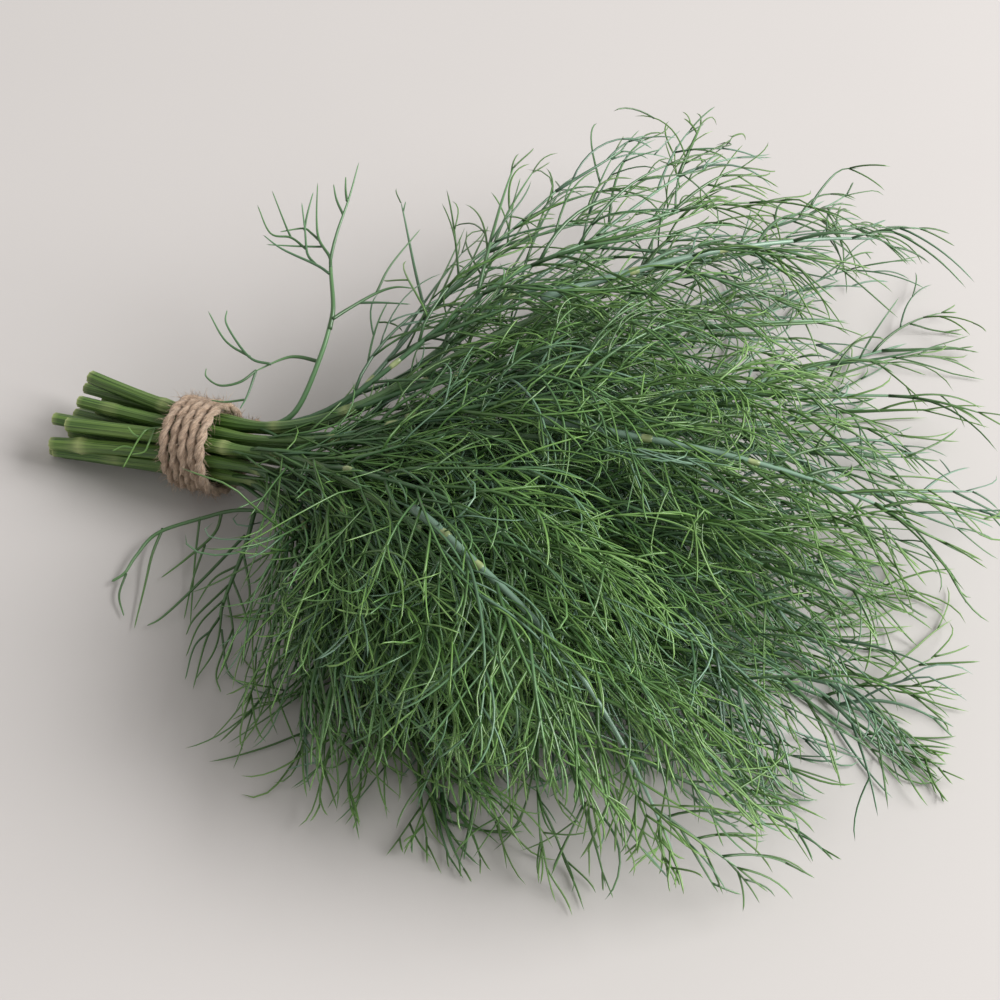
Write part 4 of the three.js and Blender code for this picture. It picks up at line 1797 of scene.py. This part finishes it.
# The near sprig: a tuft caught over the cut stems, then shoots that hang to the table below the tie.
NEAR_SHOOTS = (
    Shoot(0.5, ((-4, -4, 26), (-13.5, -5, 23.5), (-15.5, -8.5, 23), (-17, -18.5, 18)), 0.25),
    Shoot(0.36, ((-16, -9, 23), (-18, -8.5, 23), (-20.5, -7, 23.5)), 0.35),
    Shoot(0.36, ((-12.5, -5, 24), (-12, -10, 23), (-12.5, -12.5, 21.5), (-16, -14, 20.5)), 0.25),
    Shoot(0.34, ((-16.5, -12, 21), (-19.5, -12.5, 21), (-22, -14.5, 20)), 0.35),
    Shoot(0.65, ((44, -17, 13), (27, -12.5, 11), (17, -13.5, 9.5), (8.5, -18, 7.5), (-2.5, -27, 5.5),
                 (-5, -36, 4), (-5.5, -42, 3), (-8, -45.5, 2))),
    Shoot(0.4, ((-5, -42, 3), (-3.5, -49, 2), (1, -54.5, 1.2))),
    Shoot(0.45, ((-2, -25, 5.5), (-1, -33.5, 4), (2, -44, 2.5), (6, -57.5, 1.5))),
    Shoot(0.48, ((12.5, -15, 8.5), (13, -21.5, 6), (8.5, -31.5, 3.5), (4.5, -39, 2))),
    Shoot(0.4, ((12, -25.5, 5), (14, -37, 3.5), (17.5, -49.5, 1.6))),
    Shoot(0.38, ((7, -18.5, 7.5), (11.5, -31, 4), (20, -50.5, 1.5))),
    Shoot(0.46, ((22.5, -20, 8), (16.5, -37.5, 4), (12, -51, 2.5), (9, -55.5, 2))),
    Shoot(0.7, ((22, -12.5, 10), (24, -23.5, 7), (25.5, -37.5, 4.5), (27, -46, 3))),
    Shoot(0.38, ((25, -36, 5), (20.5, -48, 2.5), (20.5, -54, 1.5))),
    Shoot(0.36, ((26, -39.5, 4), (23, -50, 3), (24, -60.5, 1.5))),
    Shoot(0.44, ((27, -46, 3), (27, -54, 2.5), (31, -69.5, 1.5))),
    Shoot(0.36, ((27, -50.5, 3), (25, -57, 2.5), (27.5, -67.5, 1.5))),
    Shoot(0.38, ((26, -41.5, 4), (31, -55.5, 3.5), (30, -67, 1.5))),
    Shoot(0.36, ((25.5, -38, 4.5), (34.5, -52, 4), (36, -65.5, 2))),
    Shoot(0.34, ((30, -50, 4), (36.5, -60, 3), (40.5, -62.5, 2))),
    Shoot(0.36, ((25, -33.5, 5), (36, -46, 4.5), (40, -58.5, 2))),
    Shoot(0.34, ((33, -49, 4.5), (34.5, -62, 2.5), (38.5, -67.5, 1.5))),
    Shoot(0.4, ((24.5, -29.5, 6), (20, -36, 5), (19, -46.5, 3))),
    Shoot(0.4, ((24, -24.5, 7), (31.5, -35.5, 5), (33.5, -42, 4))),
)


@dataclass
class LooseSprig:
    """A sprig that leaves the bunch by itself."""

    name: str
    node_name: str
    shoots: tuple[Shoot, ...]
    tint: float
    seed: int
    stalk_radius: float = 0.62
    tip_radius: float = 0.16

    def build(self, origin: Array) -> bpy.types.Object:
        """Builds the sprig.

        Args:
            origin: The tie's middle in the part's frame.

        Returns:
            The sprig as one mesh of tapering shoots.
        """
        mesh = TubeMesh()
        random = np.random.default_rng(self.seed)
        for shoot in self.shoots:
            steps = 6 * len(shoot.places)
            line = smooth_line(np.array(shoot.places, float), steps)
            end = 0.62 * shoot.thick if shoot.thick > self.stalk_radius else self.tip_radius
            thick = shoot.thick + (end - shoot.thick) * np.linspace(0, 1, steps + 1) ** 1.8
            tint = np.array([np.clip(self.tint + shoot.fresh + random.normal(0, 0.05), 0.05, 0.9)])
            mesh.add(Strands(line[None], thick[None], tint, 0.1), sides=6)
        return mesh.write(self.name, origin)


# ---------------------------------------------------------------------------------------------------
# The twine
# ---------------------------------------------------------------------------------------------------


@dataclass
class TwineTie:
    """Five turns of two-ply jute twine, knotted low on the far side, with loose fibres."""

    name: str = "twine_winding"
    diameter: float = 3.0
    turns: int = 5
    pitch: float = 3.05
    ply_radius: float = 0.93
    ply_offset: float = 0.6
    lay: float = 10.0
    step: float = 0.85
    sides: int = 10
    fibres: int = 3200
    fibre_length: Range = (0.6, 4.2)
    fibre_radii: tuple[float, ...] = (0.07, 0.055, 0.025)
    fibre_root: float = 0.2
    fibre_lean: float = 0.8
    fibre_spread: float = 0.45
    fibre_curl: float = 0.35
    fibre_tints: Range = (0.2, 0.9)
    knot_turn: float = math.radians(-35)
    knot_steps: int = 30
    knot_sink: float = 0.4
    slack: float = 0.3
    sag: float = 0.1
    wander: Range = (0.35, 0.2)
    bulge: float = 0.22
    map_scale: float = 0.3
    lump: float = 0.07
    roughness: float = 0.02
    floor_gap: float = 0.4
    seed: int = 5

    def radius(self) -> float:
        """Returns the radius of the winding's centre line."""
        corner = math.hypot(PLAN.stem_pitch, PLAN.row_offsets[-1]) + PLAN.stem_radius
        return corner + self.slack + self.diameter / 2

    def knot_radius(self) -> float:
        """Returns how far off the axis the strands of the knot lie."""
        return self.radius() + self.diameter - self.knot_sink

    def place(self, x: Array, radius: Array, turn: Array) -> Array:
        """Sets places round the bundle's tilted axis.

        Args:
            x: Distances along the axis.
            radius: Distances off it.
            turn: Angles round it, in radians.

        Returns:
            The places.
        """
        flat = np.stack([x + 0 * turn, radius * np.cos(turn), radius * np.sin(turn)], axis=-1)
        cosine, sine = math.cos(math.atan(PLAN.rise)), math.sin(math.atan(PLAN.rise))
        spin = np.array([[cosine, 0, -sine], [0, 1, 0], [sine, 0, cosine]])
        return flat @ spin.T + PLAN.tie_height * UP

    def winding(self) -> Array:
        """Lays the five turns out.

        Returns:
            Their centre line.
        """
        count = int(2 * np.pi * self.radius() * self.turns / self.step)
        share = np.linspace(0, 1, count)
        turn = self.knot_turn + 2 * np.pi * self.turns * share
        x = self.pitch * self.turns * (share - 0.5)
        x = x + self.wander[0] * np.sin(turn * 0.83 + 1.0) + self.wander[1] * np.sin(turn * 2.1)
        radius = self.radius() + self.bulge * np.sin(turn * 1.37) - self.sag
        return self.place(x, radius, turn)

    def routes(self) -> list[Array]:
        """Lays out every stretch of twine: the turns, the crossing strand, the two tails and the knot.

        Returns:
            The centre line of each stretch.
        """
        on_turns = self.radius() - self.knot_radius()
        half = self.pitch * self.turns / 2
        crossing = (
            (-half, on_turns, 0.0), (2 - half, 0.0, -0.12), (0.0, 0.4, -0.05),
            (half - 2, 0.0, 0.12), (half, on_turns, 0.0),
        )
        tail = ((0.0, 1.0, 0.0), (2.0, 1.2, 0.12), (4.0, 0.9, 0.24), (6.5, 0.6, 0.32), (9.0, -0.2, 0.42))
        other_tail = tuple((-x, out, -turn) for x, out, turn in tail)
        loop = (
            (-2.2, 0.2, 0.1), (-1.4, 1.7, -0.03), (1.2, 2.0, 0.05),
            (2.4, 0.4, -0.1), (0.6, -0.8, -0.14), (-2.0, -0.4, -0.06),
        )
        routes = [self.winding()]
        for stops in (crossing, other_tail, tail, loop):
            x, out, turn = np.array(stops).T
            stretch = self.place(x, self.knot_radius() + out, self.knot_turn + turn)
            routes.append(smooth_line(stretch, self.knot_steps))
        return routes

    def frame_of(self, route: Array) -> tuple[Array, Array, Array]:
        """Finds directions along a route.

        Args:
            route: The route.

        Returns:
            Its tangents and two directions across it that turn as little as possible.
        """
        tangent = unit(np.gradient(route, axis=0))
        start, end = self.place(np.array([0.0, 1.0]), np.zeros(2), np.zeros(2))
        side = np.cross(tangent, end - start)
        weak = np.linalg.norm(side, axis=1) < 0.3
        side[weak] = np.cross(tangent[weak], np.array([0.1, 0.9, 0.4]))
        side = unit(side)
        return tangent, side, np.cross(tangent, side)

    def build(self, origin: Array) -> bpy.types.Object:
        """Lays two twisted plies along every route and sets loose fibres on them.

        Args:
            origin: The tie's middle in the part's frame.

        Returns:
            The twine.
        """
        random = np.random.default_rng(self.seed)
        mesh = TubeMesh()
        spots, ways, travelled = [], [], 0.0
        grain = np.arange(self.sides) * 2 * np.pi / self.sides
        for route in self.routes():
            tangent, side, over = self.frame_of(route)
            run = travel(route)
            around = side[:, None] * np.cos(grain)[:, None] + over[:, None] * np.sin(grain)[:, None]
            for ply in range(2):
                turn = 2 * np.pi * run / self.lay + np.pi * ply + travelled
                out = side * np.cos(turn)[:, None] + over * np.sin(turn)[:, None]
                middle = route + self.ply_offset * out
                lumps = 1 + self.lump * np.sin(run * 1.9 + 7 * ply)[:, None] * np.cos(grain * 2)
                lumps = lumps + random.normal(0, self.roughness, (len(run), self.sides))
                rings = middle[:, None] + around * (self.ply_radius * lumps)[:, :, None]
                u = (np.append(run, run[-1]) + travelled) * self.map_scale
                v = np.arange(self.sides + 1) / self.sides - turn[:, None] / (2 * np.pi)
                mesh.add_tubes(rings[None], middle[None, [0, -1]], u, v[None])
                spots.append(rings.reshape(-1, 3))
                ways.append((around + self.fibre_lean * tangent[:, None]).reshape(-1, 3))
            travelled += run[-1]
        mesh.add(self.fuzz(np.concatenate(spots), np.concatenate(ways), random))
        LOG.info("twine length %.0f mm", travelled)
        return mesh.write(self.name, origin, "Grain")

    def fuzz(self, spots: Array, ways: Array, random: np.random.Generator) -> Strands:
        """Sets short loose fibres on the plies.

        Args:
            spots: Places on the plies' surfaces.
            ways: Directions out of the plies, leaning along them.
            random: The source of chance.

        Returns:
            The fibres.
        """
        chosen = random.choice(len(spots), self.fibres, replace=False)
        start = spots[chosen]
        way = unit(ways[chosen] + random.normal(0, self.fibre_spread, (self.fibres, 3)))
        length = random.uniform(*self.fibre_length, self.fibres)[:, None]
        bend = random.normal(0, self.fibre_curl, (self.fibres, 3))
        end = start + way * length + bend * length * 0.5
        line = np.stack([start - way * self.fibre_root, start + way * length * 0.5, end], axis=1)
        line[:, :, 2] = np.maximum(line[:, :, 2], self.floor_gap)
        thick = np.tile(np.array(self.fibre_radii), (self.fibres, 1))
        return Strands(line, thick, random.uniform(*self.fibre_tints, self.fibres))


# ---------------------------------------------------------------------------------------------------
# Studio
# ---------------------------------------------------------------------------------------------------


@dataclass
class Studio:
    """A plain pale floor, soft daylight from high on the right and a steep camera.

    The window's place and size, and the floor's, are in metres.
    """

    camera_at: Place = (217.0, -305.5, 426.1)
    azimuth: float = 22.0
    elevation: float = 50.0
    field: float = 30.0
    sensor_width: float = 36.0
    clip_range: Range = (0.02, 20.0)
    floor_side: float = 6.0
    window_at: Place = (2.14, 0.66, 1.46)
    window_side: float = 1.8
    window_power: float = 127.0
    window_colour: Colour = (1.0, 0.985, 0.975)
    room_colour: Colour = (1.0, 0.972, 0.94)
    room_strength: float = 0.51

    def build(self, origin: Array) -> None:
        """Builds floor, lights and camera.

        Args:
            origin: The tie's middle in the part's frame.
        """
        self.floor()
        self.lights()
        self.camera(origin)
        bpy.context.scene.view_settings.view_transform = "Standard"

    def floor(self) -> None:
        """Lays the floor under the part."""
        deselect_all()
        bpy.ops.mesh.primitive_plane_add(size=self.floor_side, location=(0.0, 0.0, 0.0))
        floor = bpy.context.object
        floor.name = "floor"
        floor.data.materials.append(TableFinish().make())

    def lights(self) -> None:
        """Hangs the window's light, turned to the bunch, and sets the room's glow."""
        lamp = bpy.data.lights.new("window", "AREA")
        lamp.shape, lamp.size = "SQUARE", self.window_side
        lamp.energy, lamp.color = self.window_power, self.window_colour
        holder = bpy.data.objects.new("window", lamp)
        holder.location = self.window_at
        holder.rotation_euler = (-Vector(self.window_at)).to_track_quat("-Z", "Y").to_euler()
        bpy.context.scene.collection.objects.link(holder)
        world = bpy.data.worlds.new("room")
        world.use_nodes = True
        glow = world.node_tree.nodes["Background"]
        glow.inputs["Color"].default_value = (*self.room_colour, 1.0)
        glow.inputs["Strength"].default_value = self.room_strength
        bpy.context.scene.world = world

    def camera(self, origin: Array) -> None:
        """Sets the camera on the bunch.

        Args:
            origin: The tie's middle in the part's frame.
        """
        eye = bpy.data.cameras.new("camera")
        eye.sensor_width = self.sensor_width
        eye.lens = self.sensor_width / 2 / math.tan(math.radians(self.field / 2))
        eye.clip_start, eye.clip_end = self.clip_range
        holder = bpy.data.objects.new("camera", eye)
        holder.location = (np.array(self.camera_at) + origin) * MM
        around, above = math.radians(self.azimuth), math.radians(self.elevation)
        level = math.cos(above)
        look = Vector((-math.sin(around) * level, math.cos(around) * level, -math.sin(above)))
        holder.rotation_mode = "QUATERNION"
        holder.rotation_quaternion = look.to_track_quat("-Z", "Y")
        bpy.context.scene.collection.objects.link(holder)
        bpy.context.scene.camera = holder


# ---------------------------------------------------------------------------------------------------
# The bunch
# ---------------------------------------------------------------------------------------------------


class DillBunch:
    """The whole bunch, piece by piece."""

    def __init__(self) -> None:
        """Mixes the finishes and finds the tie."""
        self.origin = tie_centre()
        self.finishes = {
            Slot.LEAF: ThreadFinish().make(),
            Slot.STEM: StalkFinish().make(),
            Slot.TWINE: TwineFinish().make(),
        }
        self.triangles = 0

    def settle(self, piece: bpy.types.Object, node: str, slot: Slot) -> None:
        """Dresses a piece and puts it in its node's place.

        Args:
            piece: The finished piece.
            node: The node that it stands for.
            slot: Its material slot.
        """
        piece.data.materials.clear()
        piece.data.materials.append(self.finishes[slot])
        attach(piece, "root")
        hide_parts(node)
        faces = sum(len(face.vertices) - 2 for face in piece.data.polygons)
        self.triangles += faces
        LOG.info("%s: %d triangles", piece.name, faces)

    def build(self) -> None:
        """Builds stalks, fronds, sprigs and twine."""
        lines = [
            StalkLine(row, place)
            for row, bearings in enumerate(PLAN.bearings)
            for place in range(len(bearings))
        ]
        for number, (line, cut) in enumerate(zip(lines, CUTS), start=1):
            self.settle(Stalk(line, number, cut).build(self.origin), f"stem_{number:02d}", Slot.STEM)
            for kind in LeafKind:
                frond = Frond(line, kind, number, FrondHabit())
                self.settle(frond.build(self.origin), frond.node_name, Slot.LEAF)
        for sprig in (
            LooseSprig("loose_sprig_far", "sprig_far", FAR_SHOOTS, 0.3, 71),
            LooseSprig("loose_sprig_near", "sprig_near", NEAR_SHOOTS, 0.4, 72),
        ):
            self.settle(sprig.build(self.origin), sprig.node_name, Slot.LEAF)
        self.settle(TwineTie().build(self.origin), "twine_tie", Slot.TWINE)
        LOG.info("all pieces: %d triangles", self.triangles)


def main() -> None:
    """Builds the studio and the bunch; the bunch logs its triangle counts."""
    bunch = DillBunch()
    Studio().build(bunch.origin)
    bunch.build()


if __name__ == "__main__":
    main()
